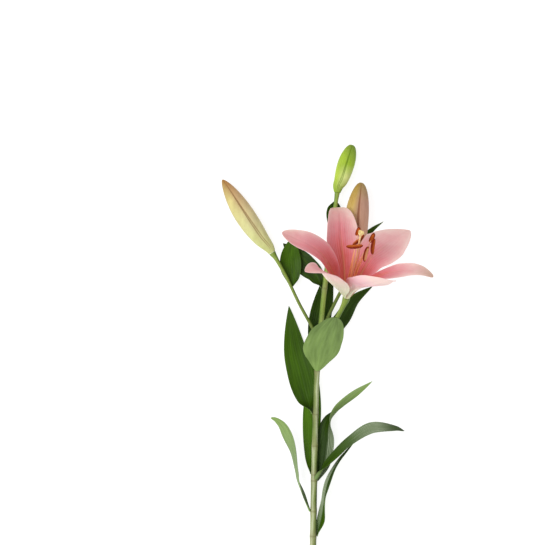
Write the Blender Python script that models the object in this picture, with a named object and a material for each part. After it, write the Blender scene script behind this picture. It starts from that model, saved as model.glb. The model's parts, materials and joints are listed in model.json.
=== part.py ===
"""A cut lily stem, laid on a flat surface: stem, pedicels, leaves, buds and one open flower.

Every organ that can be picked off the plant is one object. Lengths in the tables are millimetres, in the
plant's own frame: the origin is the node where the flower stalks branch, +X is to the right of the stem,
+Y runs along the stem towards the flower, and +Z points up from the surface that the stem lies on.
"""

import math

import bpy
import numpy as np
from mathutils import Vector

MM = 0.001

# Driving dimensions, in millimetres
FIT_GAP = 0.3  # gap left between touching organs
LEAF_THICKNESS = 0.7
TEPAL_THICKNESS = 0.7
WHORL_STEP = 0.8  # inner tepals lie this far inside the funnel, outer ones this far outside
RECEPTACLE_RADIUS = 4.0
RECEPTACLE_LENGTH = 4.0
FILAMENT_RADIUS = 0.55
FILAMENT_FOOT = 1.95  # distance of a filament's foot from the flower's axis
FILAMENT_RISE = 16.0  # the six filaments stay bundled round the ovary this far
FILAMENT_SPREAD = 1.4  # how much wider that bundle is at its top than at its foot
FILAMENT_SAG = 2.0  # how far each bows outward
FILAMENT_BOW = 0.55  # where on its free length it bows most
OVARY_RADIUS = 1.0
OVARY_SHARE = 0.2  # of the pistil's length
STYLE_RADIUS = 0.9
STIGMA_RADIUS = 3.4
STIGMA_SHARE = 0.05
ANTHER_LENGTH, ANTHER_RADIUS = 16.5, 2.2
ANTHER_TAPER = 0.95  # 1 would bring its ends to a point
SHOULDER = 0.85  # how soon a blade or bud broadens above its foot: 1 is gradual, less is sooner

# Smoothness of the faceted solids
LEAF_ROWS, LEAF_COLUMNS = 15, 5
TEPAL_ROWS, TEPAL_COLUMNS = 17, 7
BUD_ROWS, BUD_SIDES = 14, 18
STALK_ROWS, STALK_SIDES = 12, 10
STEM_ROWS, STEM_SIDES = 34, 12
STAMEN_ROWS, STAMEN_SIDES = 10, 6
CURVE_STEPS = 24  # between two points of a curve, before it is divided evenly
LEAST_CUP = 1e-3  # radians: a blade flatter than this is made with this much hollow
SLANT = (0.1, 0.2, 1.0)  # no stalk or bud runs this way, so the rings round each are set out from it

# The flower: where its six tepals spring from, and the way it opens
FLOWER_BASE = np.array((27.0, 43.0, 33.0))
FLOWER_TILT = math.radians(52)  # between the flower's axis and the vertical
FLOWER_HEADING = math.radians(12.5)  # how far the axis leans to the right of the stem's direction
AXIS = np.array(
    (
        math.sin(FLOWER_TILT) * math.sin(FLOWER_HEADING),
        math.sin(FLOWER_TILT) * math.cos(FLOWER_HEADING),
        math.cos(FLOWER_TILT),
    )
)
ACROSS = np.array((math.cos(FLOWER_HEADING), -math.sin(FLOWER_HEADING), 0.0))
DOWNHILL = np.cross(AXIS, ACROSS)  # square to both; it leans down towards the surface

# Stem and stalks: (x, y, z, radius) along each axis. A branch starts on the stem's own axis.
STALKS = {
    "stem": [
        (-7.6, -320, 3.4, 3.4),
        (-6.0, -230, 5.4, 3.3),
        (-4.9, -160, 7.0, 3.2),
        (-3.3, -80, 8.6, 2.9),
        (-1.3, -25, 9.8, 2.8),
        (2.0, 14, 10.6, 2.7),
        (7.0, 62, 11.2, 2.5),
        (13.0, 110, 10.6, 2.1),
        (17.2, 138, 9.8, 2.1),
        (18.6, 147.5, 9.4, 2.7),
    ],
    "flower_pedicel": [
        (0.2, -14, 10.0, 2.1),
        (9.0, 6, 14.5, 2.1),
        (18.0, 22, 21.5, 2.3),
        (23.8, 34, 28.0, 2.6),
        (*(FLOWER_BASE - RECEPTACLE_LENGTH * AXIS), 3.7),
        (*FLOWER_BASE, RECEPTACLE_RADIUS),
    ],
    "tan_bud_pedicel": [
        (1.2, 4, 10.4, 1.7),
        (9.0, 22, 8.0, 1.7),
        (22.0, 48, 8.4, 1.8),
        (30.0, 61, 10.2, 2.0),
        (34.6, 70, 11.4, 2.5),
        (36.4, 77.5, 11.8, 3.9),
    ],
    "side_bud_pedicel": [
        (0.6, -2, 10.2, 1.6),
        (-8.0, 15, 10.2, 1.6),
        (-19.5, 36, 10.3, 1.6),
        (-31.0, 60, 10.5, 1.6),
        (-42.0, 80, 10.8, 2.1),
        (-46.8, 87.4, 11.0, 3.6),
    ],
}

# Buds: the stalk that carries each, its axis after that stalk's end, its widest radius, and its shape: the
# share of that at the foot, where it is widest, and how blunt it is
BUDS = {
    "side_bud": dict(
        stalk="side_bud_pedicel",
        axis=[(-60.0, 104, 10.9), (-76.0, 127, 10.8), (-97.0, 161, 10.0)],
        radius=10.8,
        shape=(0.34, 0.5, 0.6),
    ),
    "tan_bud": dict(
        stalk="tan_bud_pedicel",
        axis=[(37.4, 98, 12.6), (38.3, 125, 12.5), (42.6, 158, 12.0)],
        radius=12.4,
        shape=(0.32, 0.55, 0.45),
    ),
    "terminal_bud": dict(
        stalk="stem",
        axis=[(22.6, 161, 9.0), (27.6, 177, 9.0), (33.8, 196, 8.8)],
        radius=9.0,
        shape=(0.36, 0.58, 0.4),
    ),
}
BUD_NECK = 7.0  # length over which a bud keeps to its stalk's direction
BUD_TIP_SHARE = 0.1  # radius of the flat that closes the tip, as a share of the widest
BUD_LOBES = 0.035  # how far the three outer tepals bulge, as a share of the radius

# Leaves: the stalk that each grows on, how far along it (mm) and at what angle round it (0 right, 90 up),
# the rest of its midrib, the way its upper face looks along the midrib, its widest half width, where it is
# widest and how blunt it is, and the half angle of its hollow cross section.
UP, DOWN = (0, 0, 1), (0, 0, -1)
LEAVES = {
    "front_leaf": dict(
        seat=("stem", 289, 90),
        midrib=[(0.0, -21, 20), (2.0, -9, 38), (6.0, 5, 60), (10.3, 16, 80), (13.2, 24.5, 96)],
        face=[(0, 0.6, -0.8), (0, 0.8, -0.6)],
        width=18.6,
        shape=(0.36, 0.5),
        cup=(12, 8),
    ),
    "left_broad_leaf": dict(
        seat=("stem", 245, 190),
        midrib=[(-11.8, -59, 5.2), (-18.5, -32, 3.4), (-24.5, -7, 2.4), (-30, 34, 3.0)],
        face=[UP, UP],
        width=13.6,
        shape=(0.34, 0.9),
        cup=(10, 8),
    ),
    "under_leaf": dict(
        seat=("stem", 184, 228),
        midrib=[(-7.6, -126, 2.0), (-7.2, -98, 1.4), (-6.2, -66, 1.5), (-3.0, -22, 1.6)],
        face=[UP, UP],
        width=9.2,
        shape=(0.52, 1.0),
        cup=(3, 3),
    ),
    "twisted_leaf": dict(
        seat=("stem", 178, 318),
        midrib=[
            (4.7, -125, 5.5), (7.5, -103, 6.0), (10.2, -83.6, 9.0), (20.6, -69.0, 14.0),
            (36.0, -54.4, 17.0), (53.7, -41.2, 18.0),
        ],
        face=[(-0.35, 0, 1), (-0.4, 0, 1), (-0.7, 0.3, 0.5), (-0.7, 0.6, -0.6), (-0.2, 0.3, -0.9), DOWN],
        width=9.7,
        shape=(0.3, 0.9),
        cup=(22, 24, 38, 42, 20, 12),
    ),
    "arching_leaf": dict(
        seat=("stem", 180, 65),
        midrib=[
            (6, -127, 13.0), (19.5, -112, 18.0), (31.5, -101, 21.0), (52, -88, 21.5),
            (75.7, -89, 10.0), (87, -92.6, 1.6),
        ],
        face=[(-0.6, 0.5, 0.5), (-0.3, 0.5, 0.8), (0.2, 0.4, 1)],
        width=6.3,
        shape=(0.6, 0.9),
        cup=(20, 15),
    ),
    "low_right_leaf": dict(
        seat=("stem", 122, 350),
        midrib=[
            (3.6, -179, 7.5), (6.9, -156, 9.0), (11.4, -139, 10.5), (21, -121, 12.0),
            (36, -102, 12.5),
        ],
        face=[(-0.6, 0.3, 0.8), (-0.95, 0.4, 0.3), (-0.8, 0.4, 0.55), (-0.7, 0.4, 0.6), (-0.7, 0.4, 0.6)],
        width=6.0,
        shape=(0.25, 1.1),
        cup=(35, 25),
    ),
    "low_left_leaf": dict(
        seat=("stem", 147, 180),
        midrib=[
            (-13.7, -161.5, 8), (-21.4, -141, 11), (-23.2, -131, 13), (-27.2, -111, 16),
            (-34.8, -89.5, 18), (-41.8, -81, 18.5), (-48.2, -77.8, 18),
        ],
        face=[(0.9, 0.4, 0.3), (0.7, 0.4, -0.4), (0.2, 0.5, -0.9)],
        width=6.9,
        shape=(0.68, 0.65),
        cup=(20, 15),
    ),
    "back_leaf": dict(
        seat=("stem", 300, 240),
        midrib=[(-1.5, 2, 3.2), (2.0, 24, 2.0), (7.5, 50, 1.8), (14.5, 78, 2.0)],
        face=[UP, UP],
        width=11.0,
        shape=(0.42, 1.0),
        cup=(6, 6),
    ),
    "right_fork_leaf": dict(
        seat=("stem", 313, 296),
        midrib=[(11.5, 6, 5.6), (24, 22, 5.0), (36, 40, 5.0), (55, 54, 6.0)],
        face=[UP, UP],
        width=8.0,
        shape=(0.4, 1.0),
        cup=(15, 10),
    ),
    "left_fork_leaf": dict(
        seat=("stem", 372, 200),
        midrib=[(-3, 65, 5.6), (-12, 74, 3.6), (-22, 84, 2.4), (-36, 97, 2.2)],
        face=[UP, UP],
        width=10.5,
        shape=(0.5, 0.9),
        cup=(8, 5),
    ),
    "side_pedicel_leaf": dict(
        seat=("side_bud_pedicel", 62, 290),
        midrib=[(-27.0, 63, 6.6), (-28.5, 80, 5.6), (-27.5, 93, 7.0), (-25.5, 105, 8.0)],
        face=[UP, UP],
        width=11.0,
        shape=(0.45, 1.0),
        cup=(20, 15),
    ),
    "terminal_bract": dict(
        seat=("stem", 460, 250),
        midrib=[(15.8, 132, 5.0), (14.3, 121, 3.2), (12.8, 108, 2.4)],
        face=[UP, UP],
        width=7.4,
        shape=(0.3, 0.8),
        cup=(15, 6),
    ),
    "tan_pedicel_bract": dict(
        seat=("tan_bud_pedicel", 62, 330),
        midrib=[(41, 86, 2.6), (45, 101, 1.4), (54.5, 111, 2.0), (65.5, 119, 3.5)],
        face=[(-0.3, 0.2, 1), UP],
        width=4.6,
        shape=(0.42, 1.0),
        cup=(20, 15),
    ),
}
CLASP = 0.7  # largest half angle (radians) that a leaf's foot wraps round its stalk
CLASP_SHARE = 0.15  # share of the leaf over which the clasping foot opens out
LEAF_FOOT = 0.38  # half width of a leaf's foot as a share of its widest, on a stalk thick enough for it

# Tepals: (along the flower's axis, out from it, angle round it) stations, widths, the share of the common
# wrap round the funnel that each takes, how far its blade rolls about its midrib and how hollow it is. The
# inner whorl lies inside the outer one.
CLAW = (0.8, 3.3)  # where every tepal springs from the receptacle: along the axis, out from it
TEPALS = {
    "left_tepal": dict(
        stations=[
            (8, 8, 179), (18, 15, 179), (30, 22.5, 179), (40, 30, 179), (48, 38, 180),
            (54, 50, 180), (56, 62, 179), (58, 76.5, 177.5),
        ],
        inner=True,
        width=14.8,
        blunt=0.52,
        wrap=1.0,
        roll=(0, 10, 12),
        cup=(0, 12, 20),
    ),
    "top_tepal": dict(
        stations=[
            (8, 8, 117), (18, 15, 117), (28, 23, 117), (36, 31, 117), (44, 41, 116), (54, 48, 116),
            (61, 54, 116), (63.5, 60.5, 116), (61.5, 67, 116),
        ],
        inner=False,
        width=18.0,
        blunt=0.48,
        wrap=1.0,
        roll=(0, 0, 0),
        cup=(0, 5, 15),
    ),
    "upper_right_tepal": dict(
        stations=[
            (8, 8, 57), (18, 15, 57), (29, 22, 57), (38, 28, 55.5), (44, 38, 52), (47, 49, 52),
            (50, 61, 52), (52, 77.5, 51.3),
        ],
        inner=True,
        width=22.4,
        blunt=0.72,
        wrap=0.93,
        roll=(0, -5, 12),
        cup=(0, 5, 9),
    ),
    "right_tepal": dict(
        stations=[
            (9.5, 6.2, 6), (20, 12.2, 6), (30.5, 21.2, 5), (38.5, 30, 2), (46, 39, -2), (51, 47, -4),
            (55, 56, -4), (56, 66, -4), (53, 77, -4),
        ],
        inner=False,
        width=11.0,
        blunt=0.5,
        wrap=0.45,
        roll=(0, 0, 0),
        cup=(0, -6, 10),
    ),
    "front_right_tepal": dict(
        stations=[
            (9, 6.0, -63), (20, 12.0, -63), (31, 21.5, -62), (41, 32, -58), (51, 42, -52),
            (58, 49, -48), (62.5, 56, -46),
        ],
        inner=True,
        width=17.5,
        blunt=0.6,
        wrap=1.3,
        roll=(0, 16, 24, 22),
        cup=(0, 10, 10),
    ),
    "front_left_tepal": dict(
        stations=[
            (8, 7.8, 237), (18, 16, 236), (30, 25, 234), (41, 34, 231), (52, 44, 228),
            (57.5, 55, 226), (57.7, 66.4, 225),
        ],
        inner=False,
        width=15.0,
        blunt=0.6,
        wrap=1.15,
        roll=(0, -12, -12, 0),
        cup=(0, 0, 12),
    ),
}
TEPAL_FOOT, TEPAL_WIDEST = 0.16, 0.58
TEPAL_WRAP = (23, 25, 38, 38, 38, 38, 38, 38)  # largest half angle that a tepal wraps round the funnel
WHORL_SHARE = 0.12  # the two whorls part over this share of a tepal's length

# Stamens: the angle of the foot, the centre of the anther (along, across, downhill), and the anther's long
# direction (x, y, z)
STAMENS = [
    (250, (66, -4.8, -3.9), (1.0, 0.05, 0.1)),
    (130, (69, -1.8, 3.6), (0.6, 0.5, 0.5)),
    (0, (64.2, 12.7, 5.4), (0.1, 0.9, 0.3)),
    (310, (57, 7.6, 1.0), (0.2, 0.9, 0.4)),
    (75, (65.5, 10.5, 16.2), (0.2, 0.5, 0.8)),
    (190, (73, -4.5, 11.0), (0.1, 0.4, 0.8)),
]
PISTIL = [(0.4, 0, 0), (16, 0, 0), (45, -0.3, 0), (70, -1.5, -0.5), (83, -2.2, -1.3)]


def smooth_curve(points, count):
    """A Catmull-Rom curve through the points, as count points at even spacing along it."""
    points = np.asarray(points, float)
    ends = [2 * points[0] - points[1], *points, 2 * points[-1] - points[-2]]
    fine = []
    for before, start, end, after in zip(ends, ends[1:], ends[2:], ends[3:]):
        for t in np.linspace(0, 1, CURVE_STEPS, endpoint=False):
            bend = (2 * before - 5 * start + 4 * end - after) * t**2
            twist = (3 * start - before - 3 * end + after) * t**3
            fine.append(0.5 * (2 * start + (end - before) * t + bend + twist))
    fine = np.array([*fine, points[-1]])
    along = lengths_along(fine)
    even = np.linspace(0, along[-1], count)
    return np.stack([np.interp(even, along, column) for column in fine.T], axis=1)


def lengths_along(line):
    """How far each point of a line is from its start, measured along it."""
    return np.concatenate([[0], np.cumsum(np.linalg.norm(np.diff(line[:, :3], axis=0), axis=1))])


def unit(vectors):
    """The vectors, each scaled to length 1."""
    return vectors / np.linalg.norm(vectors, axis=-1, keepdims=True)


def spread(values, count, first=0.0):
    """A few values or vectors at count stations: one at the foot, the rest evenly from first on."""
    values = np.asarray(values, float)
    where, at = np.linspace(0, 1, count), np.linspace(0, 1, len(values))
    if first:
        at = np.array([0, *np.linspace(first, 1, len(values) - 1)])
    if values.ndim == 1:
        return np.interp(where, at, values)
    return np.stack([np.interp(where, at, column) for column in values.T], axis=1)


def frame_along(spine, facing):
    """The lateral and the upper-face direction at each point of a spine."""
    tangent = unit(np.gradient(spine, axis=0))
    face = unit(facing - (facing * tangent).sum(axis=1, keepdims=True) * tangent)
    return np.cross(face, tangent), face


def outline(u, foot, widest, blunt):
    """Half width of a blade as a share of its widest: foot at u 0, 1 at widest, 0 at the tip."""
    rising = foot + (1 - foot) * np.sin(np.pi / 2 * np.clip(u / widest, 0, 1) ** SHOULDER)
    falling = np.cos(np.pi / 2 * np.clip((u - widest) / (1 - widest), 0, 1)) ** blunt
    return np.where(u < widest, rising, falling)


def blade(spine, facing, half_width, cup, columns, lift=0.0):
    """Rows of points across a leaf or a tepal, each row an arc that is hollow on the upper face."""
    lateral, face = frame_along(spine, facing)
    across = np.linspace(-1, 1, columns + 1)
    cup = np.where(np.abs(cup) < LEAST_CUP, LEAST_CUP, cup)[:, None]
    sideways = half_width[:, None] / cup * np.sin(cup * across)
    raised = half_width[:, None] / cup * (1 - np.cos(cup * across)) + lift
    spine, lateral, face = spine[:, None, :], lateral[:, None, :], face[:, None, :]
    return spine + sideways[..., None] * lateral + raised[..., None] * face


def add_object(name, points, faces, material):
    """A smooth-shaded mesh in millimetres, as an object of the plant with one material."""
    mesh = bpy.data.meshes.new(name)
    mesh.from_pydata([Vector(point) * MM for point in points], [], faces)
    mesh.shade_smooth()
    mesh.materials.append(material)
    made = bpy.data.objects.new(name, mesh)
    made.parent = plant
    bpy.context.scene.collection.objects.link(made)
    return made


def add_blade(name, grid, thickness, material):
    """A thin solid blade from a grid of points whose last row draws in to the tip."""
    rows, columns = grid.shape[:2]
    points = [*grid[:-1].reshape(-1, 3), grid[-1].mean(axis=0)]
    faces = []
    for row in range(rows - 2):
        for column in range(columns - 1):
            corner = row * columns + column
            faces.append((corner, corner + 1, corner + columns + 1, corner + columns))
    last = (rows - 2) * columns
    for column in range(columns - 1):
        faces.append((last + column, last + column + 1, len(points) - 1))
    made = add_object(name, points, faces, material)
    solid = made.modifiers.new("Thickness", "SOLIDIFY")
    solid.thickness = thickness * MM
    solid.offset = 0
    return made


def add_rings(name, rings, material):
    """A closed solid through rings of points, with a flat fan at each end."""
    count, sides = rings.shape[:2]
    points = [*rings.reshape(-1, 3), rings[0].mean(axis=0), rings[-1].mean(axis=0)]
    first_centre, last_centre = len(points) - 2, len(points) - 1
    faces = []
    for side in range(sides):
        after = (side + 1) % sides
        faces.append((first_centre, after, side))
        faces.append((last_centre, (count - 1) * sides + side, (count - 1) * sides + after))
        for low in range(0, (count - 1) * sides, sides):
            faces.append((low + side, low + after, low + sides + after, low + sides + side))
    return add_object(name, points, faces, material)


def add_tube(name, path, radii, sides, material, lobes=0.0):
    """A round stalk along a path, with a radius at each point and, on a bud, three shallow lobes."""
    lateral, face = frame_along(path, np.tile(SLANT, (len(path), 1)))
    angles = np.linspace(0, 2 * np.pi, sides, endpoint=False)
    radii = radii[:, None] * (1 - lobes + lobes * np.sin(3 * angles))
    sideways = (radii * np.cos(angles))[..., None] * lateral[:, None, :]
    raised = (radii * np.sin(angles))[..., None] * face[:, None, :]
    return add_rings(name, path[:, None, :] + sideways + raised, material)


def plain_material(name, colour, roughness):
    """A Principled material of one colour."""
    material = bpy.data.materials.new(name)
    material.use_nodes = True
    shader = material.node_tree.nodes["Principled BSDF"]
    shader.inputs["Base Color"].default_value = (*colour, 1)
    shader.inputs["Roughness"].default_value = roughness
    return material


def stalk_line(name):
    """Points (x, y, z, radius) along a stalk."""
    return smooth_curve(STALKS[name], STEM_ROWS if name == "stem" else STALK_ROWS)


def add_stalks():
    """The stem, and the pedicels that branch off it, each trimmed to sit against the stem."""
    line = stalk_line("stem")
    add_tube("stem", line[:, :3], line[:, 3], STEM_SIDES, stalk_green)
    cutter = add_tube("stem_cutter", line[:, :3], line[:, 3] + FIT_GAP, STEM_SIDES, stalk_green)
    cutter.hide_render = True
    cutter.display_type = "WIRE"
    for name in STALKS:
        if name != "stem":
            line = stalk_line(name)
            pedicel = add_tube(name, line[:, :3], line[:, 3], STALK_SIDES, stalk_green)
            trim = pedicel.modifiers.new("Seat", "BOOLEAN")
            trim.operation = "DIFFERENCE"
            trim.object = cutter


def add_buds():
    """Closed buds: six tepals pressed into one spindle with three broad lobes."""
    u = np.linspace(0, 1, BUD_ROWS)
    for name, bud in BUDS.items():
        before, end = stalk_line(bud["stalk"])[-2:, :3]
        onward = unit(end - before)
        spine = smooth_curve([end + FIT_GAP * onward, end + BUD_NECK * onward, *bud["axis"]], BUD_ROWS)
        radii = bud["radius"] * np.maximum(outline(u, *bud["shape"]), BUD_TIP_SHARE)
        material = bud_green if name == "terminal_bud" else bud_tan
        add_tube(name, spine, radii, BUD_SIDES, material, BUD_LOBES)


def seat_on(stalk, distance, angle):
    """Where a leaf's midrib starts: the point, the way from it to the stalk's axis, and how far that is."""
    line = stalk_line(stalk)
    along = lengths_along(line)
    x, y, z, radius = (np.interp(distance, along, column) for column in line.T)
    lateral, face = frame_along(line[:, :3], np.tile(UP, (len(line), 1)))
    near = np.argmin(np.abs(along - distance))
    turn = math.radians(angle)
    outward = math.cos(turn) * -lateral[near] + math.sin(turn) * face[near]
    reach = radius + FIT_GAP + LEAF_THICKNESS / 2
    return np.array((x, y, z)) + reach * outward, -outward, reach


def add_leaves():
    """Leaves, each clasping the stalk at its foot and hollow on its upper face."""
    u = np.linspace(0, 1, LEAF_ROWS)
    for name, leaf in LEAVES.items():
        foot, inward, reach = seat_on(*leaf["seat"])
        spine = smooth_curve([foot, *leaf["midrib"]], LEAF_ROWS)
        facing = spread([inward, *leaf["face"]], LEAF_ROWS, CLASP_SHARE)
        foot_share = min(LEAF_FOOT, CLASP * reach / leaf["width"])
        half_width = leaf["width"] * outline(u, foot_share, *leaf["shape"])
        clasp = half_width[0] / reach
        cup = spread((clasp, *np.radians(leaf["cup"])), LEAF_ROWS, CLASP_SHARE)
        add_blade(name, blade(spine, facing, half_width, cup, LEAF_COLUMNS), LEAF_THICKNESS, leaf_green)


def in_flower(along, across, downhill):
    """Points in the flower's own frame, from its foot."""
    return (
        FLOWER_BASE
        + np.multiply.outer(along, AXIS)
        + np.multiply.outer(across, ACROSS)
        + np.multiply.outer(downhill, DOWNHILL)
    )


def add_tepals():
    """Six tepals in two whorls, wrapped round the funnel at their feet and flared at their tips."""
    u = np.linspace(0, 1, TEPAL_ROWS)
    for name, tepal in TEPALS.items():
        foot = (*CLAW, tepal["stations"][0][2])
        stations = smooth_curve([foot, *tepal["stations"]], TEPAL_ROWS)
        along, out, turn = stations[:, 0], stations[:, 1], np.radians(stations[:, 2])
        spine = in_flower(along, out * np.cos(turn), out * np.sin(turn))
        radial = np.multiply.outer(np.cos(turn), ACROSS) + np.multiply.outer(np.sin(turn), DOWNHILL)
        tangent = unit(np.gradient(spine, axis=0))
        leaning = (tangent @ AXIS)[:, None]
        turned = np.tan(np.radians(spread(tepal["roll"], TEPAL_ROWS)))[:, None] * np.cross(AXIS, radial)
        facing = leaning * -radial + np.sqrt(1 - leaning**2) * AXIS + turned
        half_width = tepal["width"] * outline(u, TEPAL_FOOT, TEPAL_WIDEST, tepal["blunt"])
        limit = tepal["wrap"] * np.radians(spread(TEPAL_WRAP, TEPAL_ROWS)) * out
        half_width = np.minimum(half_width, limit)
        wrap = half_width / out * np.clip(leaning[:, 0], 0, 1)
        cup = wrap + np.radians(spread(tepal["cup"], TEPAL_ROWS))
        lift = (1 if tepal["inner"] else -1) * WHORL_STEP * np.clip(u / WHORL_SHARE, 0, 1)[:, None]
        grid = blade(spine, facing, half_width, cup, TEPAL_COLUMNS, lift)
        add_blade(name, grid, TEPAL_THICKNESS, petal_pink)


def add_stamens():
    """Six filaments round the ovary, each with an anther held by the middle of its back."""
    for number, (turn, centre, direction) in enumerate(STAMENS, 1):
        turn = math.radians(turn)
        foot = np.array((CLAW[0], FILAMENT_FOOT * math.cos(turn), FILAMENT_FOOT * math.sin(turn)))
        rise = foot * (1, FILAMENT_SPREAD, FILAMENT_SPREAD) + (FILAMENT_RISE, 0, 0)
        direction, anther = unit(np.array(direction, float)), in_flower(*centre)
        reach = anther - in_flower(*rise)
        back = unit(reach - (reach @ direction) * direction)
        hinge = anther - (ANTHER_RADIUS + FIT_GAP + FILAMENT_RADIUS) * back
        middle = (1 - FILAMENT_BOW) * in_flower(*rise) + FILAMENT_BOW * hinge - FILAMENT_SAG * back
        path = smooth_curve([in_flower(*foot), in_flower(*rise), middle, hinge], STAMEN_ROWS)
        radii = np.full(STAMEN_ROWS, FILAMENT_RADIUS)
        add_tube(f"filament_{number}", path, radii, STAMEN_SIDES, filament_pink)
        u = np.linspace(-1, 1, STAMEN_ROWS)
        axis = anther + u[:, None] * direction * ANTHER_LENGTH / 2
        radii = ANTHER_RADIUS * np.sqrt(1 - ANTHER_TAPER * np.abs(u) ** 3)
        add_tube(f"anther_{number}", axis, radii, STAMEN_SIDES + 2, pollen_rust)


def add_pistil():
    """Ovary, style and stigma, grown as one piece."""
    path = smooth_curve([in_flower(*point) for point in PISTIL], 2 * STAMEN_ROWS)
    u = np.linspace(0, 1, len(path))
    radii = np.where(u < OVARY_SHARE, OVARY_RADIUS, STYLE_RADIUS)
    radii = np.where(u > 1 - STIGMA_SHARE, STIGMA_RADIUS, radii)
    add_tube("pistil", path, radii, STAMEN_SIDES + 2, style_cream)


def set_down():
    """Moves the plant so that the origin is under the middle of its box, on the surface."""
    bpy.context.view_layer.update()
    shown = bpy.context.evaluated_depsgraph_get()
    solids = [made.evaluated_get(shown) for made in plant.children if not made.hide_render]
    corners = [solid.matrix_world @ Vector(corner) for solid in solids for corner in solid.bound_box]
    low, high = np.min(corners, axis=0), np.max(corners, axis=0)
    plant.location = (-(low[0] + high[0]) / 2, -(low[1] + high[1]) / 2, -low[2])


for old in list(bpy.data.objects):
    bpy.data.objects.remove(old)

plant = bpy.data.objects.new("plant", None)
bpy.context.scene.collection.objects.link(plant)

stalk_green = plain_material("stalk_green", (0.32, 0.42, 0.12), 0.45)
leaf_green = plain_material("leaf_green", (0.10, 0.22, 0.03), 0.4)
bud_green = plain_material("bud_green", (0.45, 0.50, 0.12), 0.5)
bud_tan = plain_material("bud_tan", (0.55, 0.36, 0.20), 0.5)
petal_pink = plain_material("petal_pink", (0.80, 0.36, 0.38), 0.5)
filament_pink = plain_material("filament_pink", (0.75, 0.40, 0.25), 0.45)
pollen_rust = plain_material("pollen_rust", (0.28, 0.05, 0.01), 0.8)
style_cream = plain_material("style_cream", (0.75, 0.55, 0.22), 0.45)

add_stalks()
add_buds()
add_leaves()
add_tepals()
add_stamens()
add_pistil()
set_down()
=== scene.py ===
# %% [markdown]
# # A cut pink lily, laid on a table
# The real thing is one cut stem with thirteen narrow leaves and bracts, three closed buds and one open
# flower of six tepals, six stamens and a pistil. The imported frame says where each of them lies. This
# script gives every one its fine surface: leaves and tepals as thin shells with veins, folds and waved
# edges, stalks as swept tubes with leaf scars, buds as ribbed spindles, and anthers with grains of
# pollen.

# %% Load the frame
import json
from functools import partial

import bpy
import numpy as np
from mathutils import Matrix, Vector

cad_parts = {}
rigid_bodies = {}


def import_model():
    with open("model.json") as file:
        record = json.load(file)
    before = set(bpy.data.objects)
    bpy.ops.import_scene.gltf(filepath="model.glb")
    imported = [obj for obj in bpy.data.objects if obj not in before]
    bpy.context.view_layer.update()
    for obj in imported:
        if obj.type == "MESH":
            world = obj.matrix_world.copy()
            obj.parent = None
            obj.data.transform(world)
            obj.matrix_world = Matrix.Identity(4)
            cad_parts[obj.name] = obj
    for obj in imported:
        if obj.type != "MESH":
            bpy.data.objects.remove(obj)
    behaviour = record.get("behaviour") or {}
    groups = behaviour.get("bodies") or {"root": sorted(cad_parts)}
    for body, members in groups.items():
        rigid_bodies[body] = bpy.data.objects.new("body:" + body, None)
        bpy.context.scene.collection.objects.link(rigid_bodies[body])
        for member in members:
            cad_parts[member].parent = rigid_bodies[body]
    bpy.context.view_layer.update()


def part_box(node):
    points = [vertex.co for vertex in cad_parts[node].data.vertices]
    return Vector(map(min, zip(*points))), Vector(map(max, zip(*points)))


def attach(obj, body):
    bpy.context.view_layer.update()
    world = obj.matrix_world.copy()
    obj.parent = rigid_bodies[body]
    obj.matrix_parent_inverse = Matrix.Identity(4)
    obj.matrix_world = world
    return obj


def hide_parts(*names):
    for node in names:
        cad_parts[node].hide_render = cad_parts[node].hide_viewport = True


for old in list(bpy.data.objects):
    bpy.data.objects.remove(old)
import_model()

# %% [markdown]
# ## Lines and curves
# A plant has no straight edges, so each organ starts as a few listed points and a smooth curve through
# them. A Catmull-Rom curve passes through every point and turns evenly between them. Its points come at
# even spacing, so that whatever is swept along it is even too. Lengths are in millimetres until the meshes
# are made.

# %% Curve helpers
CURVE_STEPS = 24  # between two points of a curve, before it is divided evenly
STATIONS = 200  # along each organ, before the rows of its mesh are chosen


def lengths_along(line):
    """How far each point of a line is from its start, measured along it."""
    return np.concatenate([[0], np.cumsum(np.linalg.norm(np.diff(line[:, :3], axis=0), axis=1))])


def smooth_curve(points, count=STATIONS):
    """A Catmull-Rom curve through the points, as count points at even spacing along it."""
    points = np.asarray(points, float)
    ends = [2 * points[0] - points[1], *points, 2 * points[-1] - points[-2]]
    fine = []
    for before, start, end, after in zip(ends, ends[1:], ends[2:], ends[3:]):
        for t in np.linspace(0, 1, CURVE_STEPS, endpoint=False):
            bend = (2 * before - 5 * start + 4 * end - after) * t**2
            twist = (3 * start - before - 3 * end + after) * t**3
            fine.append(0.5 * (2 * start + (end - before) * t + bend + twist))
    fine = np.array([*fine, points[-1]])
    along = lengths_along(fine)
    even = np.linspace(0, along[-1], count)
    return np.stack([np.interp(even, along, column) for column in fine.T], axis=1)


def unit(vectors):
    """The vectors, each scaled to length 1."""
    return vectors / np.linalg.norm(vectors, axis=-1, keepdims=True)


def hump(distance, reach):
    """A bell curve: 1 where the distance is 0, and gone at about twice the reach."""
    return np.exp(-((distance / reach) ** 2))


def at_shares(rows, shares):
    """What a table of rows holds at the given shares of its length."""
    where = np.asarray(shares) * (len(rows) - 1)
    low = np.minimum(where.astype(int), len(rows) - 2)
    part = (where - low).reshape(-1, *[1] * (rows.ndim - 1))
    return rows[low] * (1 - part) + rows[low + 1] * part


def spread(values, first=0.0):
    """A few values over all stations: one at the foot, the rest evenly from the share first on."""
    values = np.asarray(values, float)
    at = np.linspace(0, 1, len(values))
    if first:
        at = np.array([0, *np.linspace(first, 1, len(values) - 1)])
    where = np.linspace(0, 1, STATIONS)
    steps = np.stack([np.interp(where, at, column) for column in values.reshape(len(values), -1).T], axis=1)
    window = np.hanning(STATIONS // 10 + 1)
    reach = len(window) // 2
    padded = np.pad(steps, [(reach, reach), (0, 0)], mode="edge")
    smooth = [np.convolve(column, window / window.sum(), "valid") for column in padded.T]
    return np.stack(smooth, axis=1).reshape(STATIONS, *values.shape[1:])


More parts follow.
